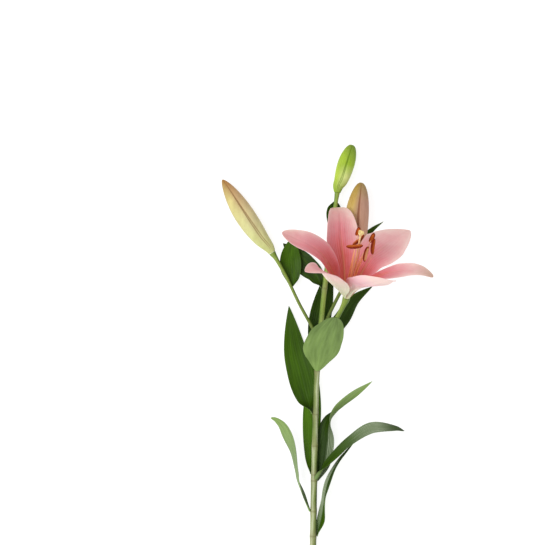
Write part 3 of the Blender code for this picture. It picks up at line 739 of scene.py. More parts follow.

# %% [markdown]
# ## The thirteen leaves and bracts
# Each entry gives the stalk that the leaf grows on, how far along it and at what angle round it, where 0
# is to the right and 90 is up. After that come the rest of its midrib, the way its upper face looks, its
# widest half width, where it is widest and how blunt it is, and the half angle of its hollow cross
# section. The last three place its colours: its own tone with painted shade and its painted sheen, from
# foot to tip, and the half that the painted sheen lies on, which is 1 for the left half, -1 for the right
# one and 0 for both. What an entry leaves out is as on the plain leaf.

# %% Leaf table
PLAIN_LEAF = dict(face=[UP, UP], bloom=(0, 0), film_side=0)
LEAVES = {
    "front_leaf": dict(
        seat=("stem", 289, 90),
        midrib=[(0.0, -21, 20), (2.0, -9, 38), (6.0, 5, 60), (10.3, 16, 80), (13.2, 24.5, 96)],
        face=[(0, 0.6, -0.8), (0, 0.8, -0.6)],
        width=18.6, shape=(0.36, 0.5), cup=(12, 8), age=(0.55, 0.68, 0.85),
    ),
    "left_broad_leaf": dict(
        seat=("stem", 245, 190),
        midrib=[(-11.8, -59, 5.2), (-18.5, -32, 3.4), (-24.5, -7, 2.4), (-30, 34, 3.0)],
        width=13.6, shape=(0.34, 0.9), cup=(10, 8), age=(0.8, 0.66, 0.62),
    ),
    "under_leaf": dict(
        seat=("stem", 184, 228),
        midrib=[(-7.6, -126, 2.0), (-7.2, -98, 1.4), (-6.2, -66, 1.5), (-3.0, -22, 1.6)],
        width=9.2, shape=(0.52, 1.0), cup=(3, 3), age=(0.4, 0.28, 0.35),
    ),
    "twisted_leaf": dict(
        seat=("stem", 178, 318),
        midrib=[
            (4.7, -125, 5.5), (7.5, -103, 6.0), (10.2, -83.6, 9.0), (20.6, -69.0, 14.0),
            (36.0, -54.4, 17.0), (53.7, -41.2, 18.0),
        ],
        face=[(-0.35, 0, 1), (-0.4, 0, 1), (-0.7, 0.3, 0.5), (-0.7, 0.6, -0.6), (-0.2, 0.3, -0.9), DOWN],
        width=9.7, shape=(0.3, 0.9), cup=(22, 24, 38, 42, 20, 12),
        age=(1.0, 1.0, 1.0, 0.95, 0.65, 0.6), bloom=(0.3, 0.6, 0.5, 0.0, 0.1, 0.2), film_side=-1,
    ),
    "arching_leaf": dict(
        seat=("stem", 180, 65),
        midrib=[
            (6, -127, 13.0), (19.5, -112, 18.0), (31.5, -101, 21.0), (52, -88, 21.5),
            (75.7, -89, 10.0), (87, -92.6, 1.6),
        ],
        face=[(-0.6, 0.5, 0.5), (-0.3, 0.5, 0.8), (0.2, 0.4, 1)],
        width=6.3, shape=(0.6, 0.9), cup=(20, 15),
        age=(0.75, 0.75, 0.8, 0.85, 1.0), bloom=(0.1, 0.0, 0.0, 0.1, 0.6, 0.9, 0.2, 0.0),
    ),
    "low_right_leaf": dict(
        seat=("stem", 122, 350),
        midrib=[
            (3.6, -179, 7.5), (6.9, -156, 9.0), (11.4, -139, 10.5), (21, -121, 12.0),
            (36, -102, 12.5),
        ],
        face=[(-0.6, 0.3, 0.8), (-0.95, 0.4, 0.3), (-0.8, 0.4, 0.55), (-0.7, 0.4, 0.6), (-0.7, 0.4, 0.6)],
        width=6.0, shape=(0.25, 1.1), cup=(35, 25),
        age=(0.6, 0.7, 1.0, 1.0), bloom=(0.1, 0.9, 0.6, 0.0), film_side=1,
    ),
    "low_left_leaf": dict(
        seat=("stem", 147, 180),
        midrib=[
            (-13.7, -161.5, 8), (-21.4, -141, 11), (-23.2, -131, 13), (-27.2, -111, 16),
            (-34.8, -89.5, 18), (-41.8, -81, 18.5), (-48.2, -77.8, 18),
        ],
        face=[(0.9, 0.4, 0.3), (0.7, 0.4, -0.4), (0.2, 0.5, -0.9)],
        width=6.9, shape=(0.68, 0.65), cup=(20, 15),
        age=(0.55, 0.85, 0.85, 0.65, 0.55), bloom=(0.0, 0.4, 0.2, 0.0),
    ),
    "back_leaf": dict(
        seat=("stem", 300, 240),
        midrib=[(-1.5, 2, 3.2), (2.0, 24, 2.0), (7.5, 50, 1.8), (14.5, 78, 2.0)],
        width=11.0, shape=(0.42, 1.0), cup=(6, 6), age=(0.95, 0.95),
    ),
    "right_fork_leaf": dict(
        seat=("stem", 313, 296),
        midrib=[(11.5, 6, 5.6), (24, 22, 5.0), (36, 40, 5.0), (55, 54, 6.0)],
        width=8.0, shape=(0.4, 1.0), cup=(15, 10), age=(1.0, 0.95),
    ),
    "left_fork_leaf": dict(
        seat=("stem", 372, 200),
        midrib=[(-3, 65, 5.6), (-12, 74, 3.6), (-22, 84, 2.4), (-36, 97, 2.2)],
        width=10.5, shape=(0.5, 0.9), cup=(8, 5), age=(0.95, 0.9),
    ),
    "side_pedicel_leaf": dict(
        seat=("side_bud_pedicel", 62, 290),
        midrib=[(-27.0, 63, 6.6), (-28.5, 80, 5.6), (-27.5, 93, 7.0), (-25.5, 105, 8.0)],
        width=11.0, shape=(0.45, 1.0), cup=(20, 15), age=(0.7, 0.55),
    ),
    "terminal_bract": dict(
        seat=("stem", 460, 250),
        midrib=[(15.8, 132, 5.0), (14.3, 121, 3.2), (12.8, 108, 2.4)],
        width=7.4, shape=(0.3, 0.8), cup=(15, 6), age=(0.9, 0.8),
    ),
    "tan_pedicel_bract": dict(
        seat=("tan_bud_pedicel", 62, 330),
        midrib=[(41, 86, 2.6), (45, 101, 1.4), (54.5, 111, 2.0), (65.5, 119, 3.5)],
        face=[(-0.3, 0.2, 1), UP],
        width=4.6, shape=(0.42, 1.0), cup=(20, 15), age=(0.6, 0.8),
    ),
}

# %% Growing the leaves
FIT_GAP = 0.3  # between touching organs
LEAF_THICKNESS, MARGIN_THICKNESS = 0.8, 0.35  # at the midrib and at the margin
RIB_REACH = 2.0  # how far from the midrib a leaf is thicker
LEAF_SEAT = 0.35  # the midrib's middle is this far off the stalk's skin, besides the gap
CLASP = 0.7  # largest half angle (radians) that a leaf's foot wraps round its stalk
CLASP_SHARE = 0.15  # share of the leaf over which the clasping foot opens out
LEAF_FOOT = 0.38  # half width of a leaf's foot as a share of its widest, on a stalk thick enough for it
LEAF_ROWS, LEAF_COLUMNS = 90, 27
MIDRIB_GROOVE, GROOVE_WIDTH = 0.45, 0.9
MARGIN_WAVE, WAVES = 0.7, 2.3  # height of the waves at a leaf's margins, and how many run along it
WAVE_LAG, WAVE_POWER = 0.3, 2.5  # one margin's lag behind the other, and how close they keep to it
LEAF_PHASE = 0.37  # of a wave, from one leaf's waves to the next one's
SHEEN_START, SHEEN_SLOPE = 0.1, 5  # a one-sided painted sheen starts this far from the midrib, and rises this fast


def seat_on(stalk, distance, angle):
    """Where a leaf's midrib starts: the point, the way from it to the stalk's axis, and how far that is."""
    line = stalk_lines[stalk]
    along = lengths_along(line)
    x, y, z, radius = (np.interp(distance, along, column) for column in line.T)
    lateral, face = frame_along(line[:, :3], np.tile(UP, (len(line), 1)).astype(float))
    near = np.argmin(np.abs(along - distance))
    turn = np.radians(angle)
    outward = np.cos(turn) * -lateral[near] + np.sin(turn) * face[near]
    reach = radius + FIT_GAP + LEAF_SEAT
    return np.array((x, y, z)) + reach * outward, -outward, reach


def waves_at_edge(u, across, waves, phase, lag, power):
    """Waves along both margins of a blade: the two margins are out of step by the lag."""
    turns = 2 * np.pi * (waves * u + phase + lag * np.sign(across))
    return np.abs(across) ** power * np.sin(turns) * np.sin(np.pi * u)


def grow_leaf(name, leaf, phase):
    """A leaf, clasping its stalk at its foot, with a grooved midrib and gently waved margins."""
    shares, across = crowded(LEAF_ROWS), np.linspace(-1, 1, LEAF_COLUMNS)
    foot, inward, reach = seat_on(*leaf["seat"])
    spine = at_shares(smooth_curve([foot, *leaf["midrib"]]), shares)
    facing = at_shares(spread([inward, *leaf["face"]], CLASP_SHARE), shares)
    foot_share = min(LEAF_FOOT, CLASP * reach / leaf["width"])
    half_width = leaf["width"] * outline(shares, foot_share, *leaf["shape"])
    cup = at_shares(spread((half_width[0] / reach, *np.radians(leaf["cup"])), CLASP_SHARE), shares)
    grid = blade(spine, facing, half_width, cup, across)
    u, sideways = shares[:, None], half_width[:, None] * across
    groove = -MIDRIB_GROOVE * hump(sideways, GROOVE_WIDTH) * (1 - u)
    wave = MARGIN_WAVE * waves_at_edge(u, across, WAVES, phase, WAVE_LAG, WAVE_POWER)
    thickness = MARGIN_THICKNESS + (LEAF_THICKNESS - MARGIN_THICKNESS) * hump(sideways, RIB_REACH)
    # each leaf's own tone with painted shade, and its painted sheen, from foot to tip
    age, bloom = (at_shares(spread(leaf[title]), shares)[:, None] for title in ("age", "bloom"))
    one_side = np.clip(SHEEN_SLOPE * (leaf["film_side"] * across - SHEEN_START), 0, 1)
    sheen_mask = one_side if leaf["film_side"] else 1
    marks = {"across": across, "along": u, "own": phase, "age": age, "bloom": bloom * sheen_mask}
    relief = (groove + wave)[..., None] * normals(grid)
    return add_shell(f"lily_{name}", grid + relief, thickness, leaf_skin, marks)


for number, (name, leaf) in enumerate(LEAVES.items()):
    made = grow_leaf(name, {**PLAIN_LEAF, **leaf}, LEAF_PHASE * number)
    stands_for(made, name)

# %% [markdown]
# ## Buds
# A closed lily bud is six tepals pressed into one spindle. The three outer ones bulge, and they meet in
# three sutures. Towards the foot each suture opens a little and shows the keel of an inner tepal between
# two dark lines. All this is a change of radius with the angle round the bud, so a bud is a stack of
# rings.

# %% Bud skins
def bud_material(name, left, right, groove_colour):
    """The skin of a bud: colours along its left flank and the rest, and one for its sutures."""
    material, tree = new_material(name, 0.5, gloss=0.15)
    along, groove, flank = attributes(tree, "along groove flank")
    tone = mottled(tree, 6, 1.8, (1.0, 0.35, 1.0))
    fine = mottled(tree, 0.9, 2.0, (1.0, 0.08, 1.0))
    shaded = mix(tone * 0.35, mix(flank, ramp(along, right), ramp(along, left)), groove_colour)
    base = mix(groove * 0.8, mix(fine * 0.1, shaded, "#F4EBCB"), groove_colour)
    finish_material(base, fine, 0.3, 0.2)
    return material


BUD_SKINS = {
    "terminal_bud": bud_material(
        "green_bud_skin",
        [(0.0, "#8CAC20"), (0.3, "#AEC83A"), (0.75, "#9ABA18"), (0.97, "#789204")],
        # the rest of the green bud: its pale stop at 0.33 is a painted highlight
        [(0.0, "#88A820"), (0.33, "#DCE68E"), (0.6, "#9ABC18"), (0.97, "#688800")],
        "#5F7C0C",
    ),
    "tan_bud": bud_material(
        "tan_bud_skin",
        [(0.0, "#C4C489"), (0.45, "#CDB473"), (0.75, "#C4A548"), (0.97, "#A4842C")],
        [(0.0, "#C8B88E"), (0.4, "#CA9C82"), (0.75, "#C09480"), (0.97, "#A08A50")],
        "#824A2C",
    ),
    "side_bud": bud_material(
        "side_bud_skin",
        [(0.0, "#BFCB7E"), (0.4, "#D3D393"), (0.75, "#CFC27C"), (0.97, "#A9803C")],
        [(0.0, "#C5CE86"), (0.4, "#D8D09A"), (0.75, "#CBA878"), (0.97, "#A8702A")],
        "#7E5A2E",
    ),
}
print("bud skins:", [material.name for material in BUD_SKINS.values()])

# %% Growing the buds
BUDS = {
    "side_bud": dict(
        stalk="side_bud_pedicel",
        axis=[(-60.0, 104, 10.9), (-76.0, 127, 10.8), (-97.0, 161, 10.0)],
        radius=10.8, shape=(0.34, 0.5, 0.6), slot="bud_tan",
    ),
    "tan_bud": dict(
        stalk="tan_bud_pedicel",
        axis=[(37.4, 98, 12.6), (38.3, 125, 12.5), (42.6, 158, 12.0)],
        radius=12.4, shape=(0.32, 0.55, 0.45), slot="bud_tan",
    ),
    "terminal_bud": dict(
        stalk="stem",
        axis=[(22.6, 161, 9.0), (27.6, 177, 9.0), (33.8, 196, 8.8)],
        radius=9.0, shape=(0.36, 0.58, 0.4), slot="bud_green",
    ),
}
BUD_NECK = 7.0  # length over which a bud keeps to its stalk's direction
BUD_REACH = 0.999  # share of its length at which a bud's skin closes
BUD_SHARE = 0.985  # of the radius: the lobed skin lies just inside the plain bud
BUD_LOBES, TIP_LOBES = 0.035, 2.5  # how far the outer tepals bulge, in radii, and how much more at the tip
BUD_ROWS, BUD_SIDES = 110, 96
SUTURE_DEPTH, SUTURE_WIDTH = 0.05, 0.055  # as a share of the radius, and in radians
SUTURE_GAP = 0.16  # radians between a suture's middle and the line on each side of it, at the foot
GAP_CLOSING, LOBE_ONSET = 1.3, 8  # powers: how soon a suture closes, how late the tip's lobes swell
SUTURE_START = 0.12  # share of the bud's length over which its sutures deepen
KEEL, KEEL_WIDTH = 0.012, 0.07  # as a share of the radius, and in radians
FLANK_AT, FLANK_WIDTH = np.radians(30), 0.85  # where the left flank's colours lie, in radians
BUD_FACE = (0.1, 0.2, 1.0)  # the way a bud's upper suture looks
THIRD = 2 * np.pi / 3


def grow_bud(name, bud):
    """A bud with three sutures, one of which looks up."""
    line = stalk_lines[bud["stalk"]][:, :3]
    onward = unit(line[-1] - line[-2])
    start = [line[-1] + FIT_GAP * onward, line[-1] + BUD_NECK * onward]
    shares = BUD_REACH * crowded(BUD_ROWS)
    spine = at_shares(smooth_curve([*start, *bud["axis"]]), BUD_REACH * shares)
    lateral, face = frame_along(spine, np.tile(BUD_FACE, (len(spine), 1)))
    angles, u = np.linspace(0, 2 * np.pi, BUD_SIDES, endpoint=False), shares[:, None]
    from_suture = (angles - np.pi / 2 + THIRD / 2) % THIRD - THIRD / 2
    gap = SUTURE_GAP * (1 - u) ** GAP_CLOSING
    lines = sum(hump(from_suture + side * gap, SUTURE_WIDTH) for side in (-1, 1))
    groove = np.clip(lines, 0, 1) * np.clip(u / SUTURE_START, 0, 1)
    keel = hump(np.abs(from_suture) - THIRD / 2, KEEL_WIDTH) * u
    lobes = BUD_LOBES * (1 + TIP_LOBES * u**LOBE_ONSET)
    radii = BUD_SHARE * bud["radius"] * outline(u, *bud["shape"])
    radii = radii * (1 - lobes + lobes * np.sin(3 * angles) - SUTURE_DEPTH * groove + KEEL * keel)
    wide, deep = radii * np.cos(angles), radii * np.sin(angles)
    rings = rings_round(spine[:, None], lateral[:, None], face[:, None], wide, deep)
    marks = {"along": u, "groove": groove, "flank": np.exp(-(((angles - FLANK_AT) / FLANK_WIDTH) ** 4))}
    return add_spindle(f"lily_{name}", rings, BUD_SKINS[name], marks)


for name, bud in BUDS.items():
    stands_for(grow_bud(name, bud), name)

# %% [markdown]
# ## Tepals
# The flower has six tepals, three inner ones with three outer ones behind them. Each springs from a
# narrow claw, wraps the funnel, then flares and rolls back at its tip. Stations are given in the flower's
# own frame: how far along its axis, how far out, and at what angle round it. A groove runs down the
# inside of every tepal's midrib, with a soft fold on each side, and the margins are ruffled.

# %% Tepal skin
INSIDE = [(0.0, "#EBC8C2"), (0.25, "#E4ABAC"), (0.5, "#E08E95"), (0.75, "#DE7478"), (1.0, "#D05E4E")]
OUTSIDE = [
    (0.0, "#EAECBE"), (0.18, "#F0E8CE"), (0.34, "#EECFC6"), (0.62, "#E6B0B8"), (0.85, "#EDC4C6"),
    (1.0, "#F0D2CA"),
]
tepal_skin, tree = new_material("tepal_skin", 0.55, gloss=0.25, subsurface=0.15)
across, along, upper, blush, tan, rib, outer = attributes(tree, "across along upper blush tan rib outer")
vein = lined(tree, veins, Across=across, Along=along, Count=8.0, Width=0.3, Wander=1.2)
tone, grain = mottled(tree, 8, 1.8), mottled(tree, 0.8, 2.0)
inside = ramp(blush + (tone - 0.5) * 0.16 + vein["Line"] * blush * 0.3, INSIDE)
inside = mix(tan, mix(rib * 0.5, inside, "#C9B068"), "#CFA98B")
outside = mix(vein["Line"] * 0.15, ramp(outer, OUTSIDE), "#E7A9AC")
outside = mix(rib * 0.3, outside, "#C3CC92")
finish_material(mix(upper, outside, inside), vein["Ridge"] + grain * 0.25, 0.25, 0.2)
print("tepal skin:", len(tree.nodes), "nodes")

# %% [markdown]
# ## The six tepals
# Besides its stations, each entry says whether the tepal is an inner one, its widest half width and how
# blunt its tip is, how much of the funnel it wraps, how far it rolls to one side and cups along its
# length, in degrees, and how it ruffles. The rest places its colours: depth is how deep the pink is from
# foot to tip, with a band down the middle or more to one side, tan is how faded the tip is and green how
# far up the back the green foot reaches. On the top tepal, the pink pushed to one side is painted light and
# shade: one half paler, the other deeper pink.

# %% Tepal table
CLAW = (0.8, 3.3)  # where every tepal springs from the receptacle: along the axis, out from it
TEPALS = {
    "left_tepal": dict(
        stations=[
            (8, 8, 179), (18, 15, 179), (30, 22.5, 179), (40, 30, 179), (48, 38, 180),
            (54, 50, 180), (56, 62, 179), (58, 76.5, 177.5),
        ],
        inner=True, width=14.8, blunt=0.52, wrap=1.0,
        roll=(0, 10, 12), cup=(0, 12, 20), ruffle=1.1, waves=1.6,
        depth=(1.0, 0.95, 0.85, 0.6, 0.38, 0.25), band=0.0, side=0.15, tan=0.25, green=0.2,
    ),
    "top_tepal": dict(
        stations=[
            (8, 8, 117), (18, 15, 117), (28, 23, 117), (36, 31, 117), (44, 41, 116), (54, 48, 116),
            (61, 54, 116), (63.5, 60.5, 116), (61.5, 67, 116),
        ],
        inner=False, width=18.0, blunt=0.48, wrap=1.0,
        roll=(0, 0, 0), cup=(0, 5, 15), ruffle=0.9, waves=1.3,
        # side: painted light and shade across this tepal, paler on one half and deeper pink on the other
        depth=(1.0, 0.78, 0.64, 0.46, 0.25, 0.12), band=0.22, side=0.15, tan=0.45, green=0.2,
    ),
    "upper_right_tepal": dict(
        stations=[
            (8, 8, 57), (18, 15, 57), (29, 22, 57), (38, 28, 55.5), (44, 38, 52), (47, 49, 52),
            (50, 61, 52), (52, 77.5, 51.3),
        ],
        inner=True, width=22.4, blunt=0.72, wrap=0.93,
        roll=(0, -5, 12), cup=(0, 5, 9), ruffle=1.2, waves=1.2,
        depth=(1.0, 0.9, 0.58, 0.3, 0.15, 0.08), band=0.05, side=0.0, tan=0.1, green=0.2,
    ),
    "right_tepal": dict(
        stations=[
            (9.5, 6.2, 6), (20, 12.2, 6), (30.5, 21.2, 5), (38.5, 30, 2), (46, 39, -2), (51, 47, -4),
            (55, 56, -4), (56, 66, -4), (53, 77, -4),
        ],
        inner=False, width=11.0, blunt=0.5, wrap=0.45,
        roll=(0, 0, 0), cup=(0, -6, 10), ruffle=0.8, waves=1.6,
        depth=(1.0, 0.9, 0.72, 0.4, 0.14, 0.05), band=0.05, side=0.0, tan=0.8, green=0.2,
    ),
    "front_right_tepal": dict(
        stations=[
            (9, 6.0, -63), (20, 12.0, -63), (31, 21.5, -62), (41, 32, -58), (51, 42, -52),
            (58, 49, -48), (62.5, 56, -46),
        ],
        inner=True, width=17.5, blunt=0.6, wrap=1.3,
        roll=(0, 16, 24, 22), cup=(0, 10, 10), ruffle=1.2, waves=1.8,
        depth=(1.0, 0.8, 0.55, 0.35, 0.2, 0.1), band=0.0, side=0.0, tan=0.1, green=0.15,
    ),
    "front_left_tepal": dict(
        stations=[
            (8, 7.8, 237), (18, 16, 236), (30, 25, 234), (41, 34, 231), (52, 44, 228),
            (57.5, 55, 226), (57.7, 66.4, 225),
        ],
        inner=False, width=15.0, blunt=0.6, wrap=1.15,
        roll=(0, -12, -12, 0), cup=(0, 0, 12), ruffle=1.0, waves=1.5,
        depth=(1.0, 0.8, 0.55, 0.4, 0.35, 0.25), band=0.0, side=0.0, tan=0.2, green=0.32,
    ),
}

# %% Growing the tepals
TEPAL_FOOT, TEPAL_WIDEST = 0.16, 0.58
TEPAL_WRAP = (23, 25, 38, 38, 38, 38, 38, 38)  # largest half angle that a tepal wraps round the funnel
WHORL_STEP, WHORL_SHARE = 0.8, 0.12  # inner and outer tepals part by this much, over this share of them
TEPAL_ROWS, TEPAL_COLUMNS = 110, 41
FURROW, FURROW_WIDTH = 0.9, 1.2
FOLD, FOLD_AT, FOLD_WIDTH = 0.45, 3.6, 1.5
RELIEF_START = 0.25  # share of a tepal over which its furrow and folds deepen
RUFFLE_LAG, RUFFLE_POWER = 0.23, 3
CORNER = 1.2  # how tight the turn is where the funnel stops a tepal from widening
TEPAL_MARGIN, TEPAL_RIB, TEPAL_RIB_REACH = 0.4, 0.5, 2.5  # thickness at the margin, how much more at the rib
RIB_THINNING = 0.6  # how much of the rib's thickness is gone at the tip
PALE_EDGE, BAND_WIDTH = 0.3, 0.35
TAN_START, TAN_SPREAD = 0.72, 0.28  # where along a tepal the tan of its tip starts, and over what share
RIB_TINT, RIB_END = 1.0, 0.75  # how wide a rib's greenish tint is, and where it has faded out
GREEN_FOOT = 0.2  # how far up the colours of the outside their green foot reaches
TEPAL_PHASE = 0.29  # of a wave, from one tepal's ruffles to the next one's


def soft_least(first, second):
    """The lesser of two lengths, with the corner between them rounded."""
    return -np.log(np.exp(-CORNER * first) + np.exp(-CORNER * second)) / CORNER


def tepal_spine(tepal):
    """A tepal's stations, how far out each is, how steeply it climbs, and the way it faces."""
    stations = smooth_curve([(*CLAW, tepal["stations"][0][2]), *tepal["stations"]])
    along, out, turn = stations[:, 0], stations[:, 1], np.radians(stations[:, 2])
    spine = in_flower(along, out * np.cos(turn), out * np.sin(turn))
    radial = np.multiply.outer(np.cos(turn), ACROSS) + np.multiply.outer(np.sin(turn), DOWNHILL)
    leaning = (unit(np.gradient(spine, axis=0)) @ AXIS)[:, None]
    turned = np.tan(np.radians(spread(tepal["roll"])))[:, None] * np.cross(AXIS, radial)
    return spine, out, leaning[:, 0], leaning * -radial + np.sqrt(1 - leaning**2) * AXIS + turned


def grow_tepal(name, tepal, phase):
    """A tepal that wraps the funnel at its foot, with a furrow, folds and ruffled margins."""
    shares, across = crowded(TEPAL_ROWS), np.linspace(-1, 1, TEPAL_COLUMNS)
    spine, out, leaning, facing = (at_shares(rows, shares) for rows in tepal_spine(tepal))
    limit = tepal["wrap"] * np.radians(at_shares(spread(TEPAL_WRAP), shares)) * out
    full = tepal["width"] * outline(shares, TEPAL_FOOT, TEPAL_WIDEST, tepal["blunt"])
    half_width = soft_least(full, limit)
    cup = half_width / out * np.clip(leaning, 0, 1) + np.radians(at_shares(spread(tepal["cup"]), shares))
    u, sideways = shares[:, None], half_width[:, None] * across
    lift = (1 if tepal["inner"] else -1) * WHORL_STEP * np.clip(u / WHORL_SHARE, 0, 1)
    grid = blade(spine, facing, half_width, cup, across, lift)
    furrow = -FURROW * hump(sideways, FURROW_WIDTH) * (1 - u) ** 0.5
    folds = FOLD * hump(np.abs(sideways) - FOLD_AT, FOLD_WIDTH) * (1 - u)
    waves = waves_at_edge(u, across, tepal["waves"], phase, RUFFLE_LAG, RUFFLE_POWER)
    relief = (furrow + folds) * np.clip(u / RELIEF_START, 0, 1) + tepal["ruffle"] * waves
    thickness = TEPAL_MARGIN + TEPAL_RIB * hump(sideways, TEPAL_RIB_REACH) * (1 - RIB_THINNING * u)
    deep = np.interp(shares, np.linspace(0, 1, len(tepal["depth"])), tepal["depth"])[:, None]
    # the side term tips the pink across a tepal; on the top tepal it is painted light and shade
    band = tepal["band"] * hump(across, BAND_WIDTH) * np.sin(np.pi * u) + tepal["side"] * across
    marks = {
        "across": across,
        "along": u,
        "blush": np.clip(deep + band - PALE_EDGE * across**4, 0, 1),
        "tan": tepal["tan"] * np.clip((u - TAN_START) / TAN_SPREAD, 0, 1) ** 1.5,
        "rib": hump(sideways, RIB_TINT) * np.clip(1 - u / RIB_END, 0, 1),
        "outer": np.clip(u * GREEN_FOOT / tepal["green"], 0, 1),
    }
    return add_shell(f"lily_{name}", grid + relief[..., None] * normals(grid), thickness, tepal_skin, marks)


for number, (name, tepal) in enumerate(TEPALS.items()):
    stands_for(grow_tepal(name, tepal, TEPAL_PHASE * number), name)

# %% [markdown]
# ## Stamens and pistil
# Six slender filaments stand round the pistil. Each carries an anther that is hinged by the middle of its
# back. A ripe anther has split along its sides: its edges are dark rust, its faces are orange with loose
# pollen, and one has shed most of it. The pistil ends in a stigma of three sticky lobes.

# %% Skins inside the flower
def tissue(name, finish, stops, fleck, grain, relief, mark="along", bare=None):
    """Smooth tissue: its finish, its colours along a mark, flecks, and the colour of bare parts."""
    material, tree = new_material(name, *finish)
    tone = mottled(tree, *grain)
    base = mix(tone * fleck[1], ramp(attributes(tree, mark)[0], stops), fleck[0])
    if bare:
        base = mix(attributes(tree, "shed")[0], base, bare)
    finish_material(base, tone, *relief)
    return material


filament_skin = tissue(
    "filament_skin",
    finish=(0.5, 0.3, 0.1),
    stops=[(0.0, "#D89A4C"), (0.3, "#E8945A"), (0.8, "#F0AE80"), (1.0, "#F2C49A")],
    fleck=("#D87C50", 0.3),
    grain=(3, 1.5),
    relief=(0.2, 0.2),
)
anther_skin = tissue(
    "anther_skin",
    finish=(0.75, 0.15),
    stops=[(0.0, "#D2742A"), (0.35, "#BF5A1C"), (0.7, "#8A2C0C"), (1.0, "#6A1806")],
    fleck=("#7A2408", 0.45),
    grain=(1.5, 2.5),
    relief=(0.6, 0.3),
    mark="edge",
    bare="#F0B884",
)
pollen_skin = speckled_material("pollen_skin", 0.85, 0.15, 1.2, 3.0, "#8E3208", "#D07A26", 0.2, 0.05)
pistil_skin = tissue(
    "pistil_skin",
    finish=(0.35, 0.5, 0.1),
    stops=[
        (0.0, "#A9B46A"), (0.2, "#C9B878"), (0.3, "#E6A878"), (0.85, "#EBBB88"), (0.95, "#F0DAA0"),
        (1.0, "#EBD48C"),
    ],
    fleck=("#C98F54", 0.25),
    grain=(2, 1.5),
    relief=(0.25, 0.2),
)
print(len(bpy.data.materials), "materials so far")

# %% [markdown]
# ## A tree that scatters grains
# Pollen lies on the anthers in hundreds of grains. A Geometry Nodes tree strews points over a mesh with a
# fixed seed, puts a small ball of twenty faces on each, makes them real and joins them to the mesh. The
# strands in the stem's cut end use the same tree.

# %% The grain tree
SMALLEST_GRAIN, LARGEST_GRAIN = 0.55, 1.25  # shares of the grain radius

sizes = dict(Density="Float", Grain_radius="Float", Seed="Int")
grain_tree, given, node = shape_group("Scattered grains", **sizes)
places = dict(Mesh=given["Geometry"], Density=given["Density"], Seed=given["Seed"])
strewn = node("GeometryNodeDistributePointsOnFaces", **places)
ball = node("GeometryNodeMeshIcoSphere", Radius=given["Grain radius"], Subdivisions=1)
shares = dict(Min=SMALLEST_GRAIN, Max=LARGEST_GRAIN)
amount = node("FunctionNodeRandomValue", Seed=given["Seed"], data_type="FLOAT", **shares)
placed = node("GeometryNodeInstanceOnPoints", Points=strewn, Instance=ball, Scale=amount)
joined = node("GeometryNodeJoinGeometry")
for shape in (in_skin(placed, given["Skin"]), given["Geometry"]):
    grain_tree.links.new(shape.socket, joined.node.inputs[0])
give(grain_tree, Geometry=joined)

# %% Growing the stamens
STAMENS = [  # the angle of the filament's foot, the anther's middle, and the way it points
    (250, (66, -4.8, -3.9), (1.0, 0.05, 0.1)),
    (130, (69, -1.8, 3.6), (0.6, 0.5, 0.5)),
    (0, (64.2, 12.7, 5.4), (0.1, 0.9, 0.3)),
    (310, (57, 7.6, 1.0), (0.2, 0.9, 0.4)),
    (75, (65.5, 10.5, 16.2), (0.2, 0.5, 0.8)),
    (190, (73, -4.5, 11.0), (0.1, 0.4, 0.8)),
]
FILAMENT_FOOT, FILAMENT_RISE, FILAMENT_SPREAD, FILAMENT_SAG = 1.95, 16.0, 1.4, 2.0
FILAMENT_RADII = (0.6, 0.7, 0.75, 0.65, 0.35)  # from foot to hinge
FILAMENT_ROWS, FILAMENT_SIDES = 60, 14
FILAMENT_RIBS = dict(ribs=2, rib_depth=0.12)
SAG_AT = 0.55  # the filament sags most at this share of the way from its rise to its hinge
HINGE = 3.05  # from the filament's end to the middle of the anther
ANTHER_LENGTH, ANTHER_WIDTH, ANTHER_DEPTH = 16.5, 2.3, 1.8  # the last two are half sizes
ANTHER_ROWS, ANTHER_SIDES, ANTHER_END = 44, 28, 0.995
ANTHER_BOW = 0.9
ANTHER_FURROW, FURROW_ANGLE = 0.28, 0.12  # as a share of the depth, and in sines of the angle
SPLIT_DEPTH, SPLIT_ANGLE = 0.12, 0.18  # as a share of the width, and in sines of the angle
GRAIN_RADIUS, GRAINS_PER_M2 = 0.13, 2.2e6
SHED = {4: 0.8}  # the anther that has lost most of its pollen, and how much


def grow_anther(name, middle, direction, back, seed, shed):
    """A boat of two pollen sacs, furrowed on both faces and split along both edges, with pollen on it."""
    u = np.linspace(-ANTHER_END, ANTHER_END, ANTHER_ROWS)[:, None]
    angles = np.linspace(0, 2 * np.pi, ANTHER_SIDES, endpoint=False)
    size = np.sqrt(1 - np.abs(u) ** 3)
    furrow = 1 - ANTHER_FURROW * hump(np.abs(np.sin(angles)) - 1, FURROW_ANGLE)
    split = 1 - SPLIT_DEPTH * hump(np.sin(angles), SPLIT_ANGLE)
    wide = ANTHER_WIDTH * size * np.cos(angles) * split
    deep = ANTHER_DEPTH * size * np.sin(angles) * furrow
    spine = middle + u[..., None] * direction * ANTHER_LENGTH / 2 + ANTHER_BOW * u[..., None] ** 2 * back
    rings = rings_round(spine, np.cross(direction, back), back, wide, deep)
    edge = np.abs(np.cos(angles)) ** 1.5
    bare = shed * np.clip(1.6 - 2.2 * edge, 0, 1) * np.clip(4 - 4.5 * np.abs(u), 0, 1)
    made = add_spindle(name, rings, anther_skin, {"edge": np.maximum(edge, np.abs(u) ** 6), "shed": bare})
    sizes = dict(Density=GRAINS_PER_M2 * (1 - 0.8 * shed), Grain_radius=GRAIN_RADIUS * MM)
    return run_tree(made, grain_tree, Seed=seed, Skin=pollen_skin, **sizes)


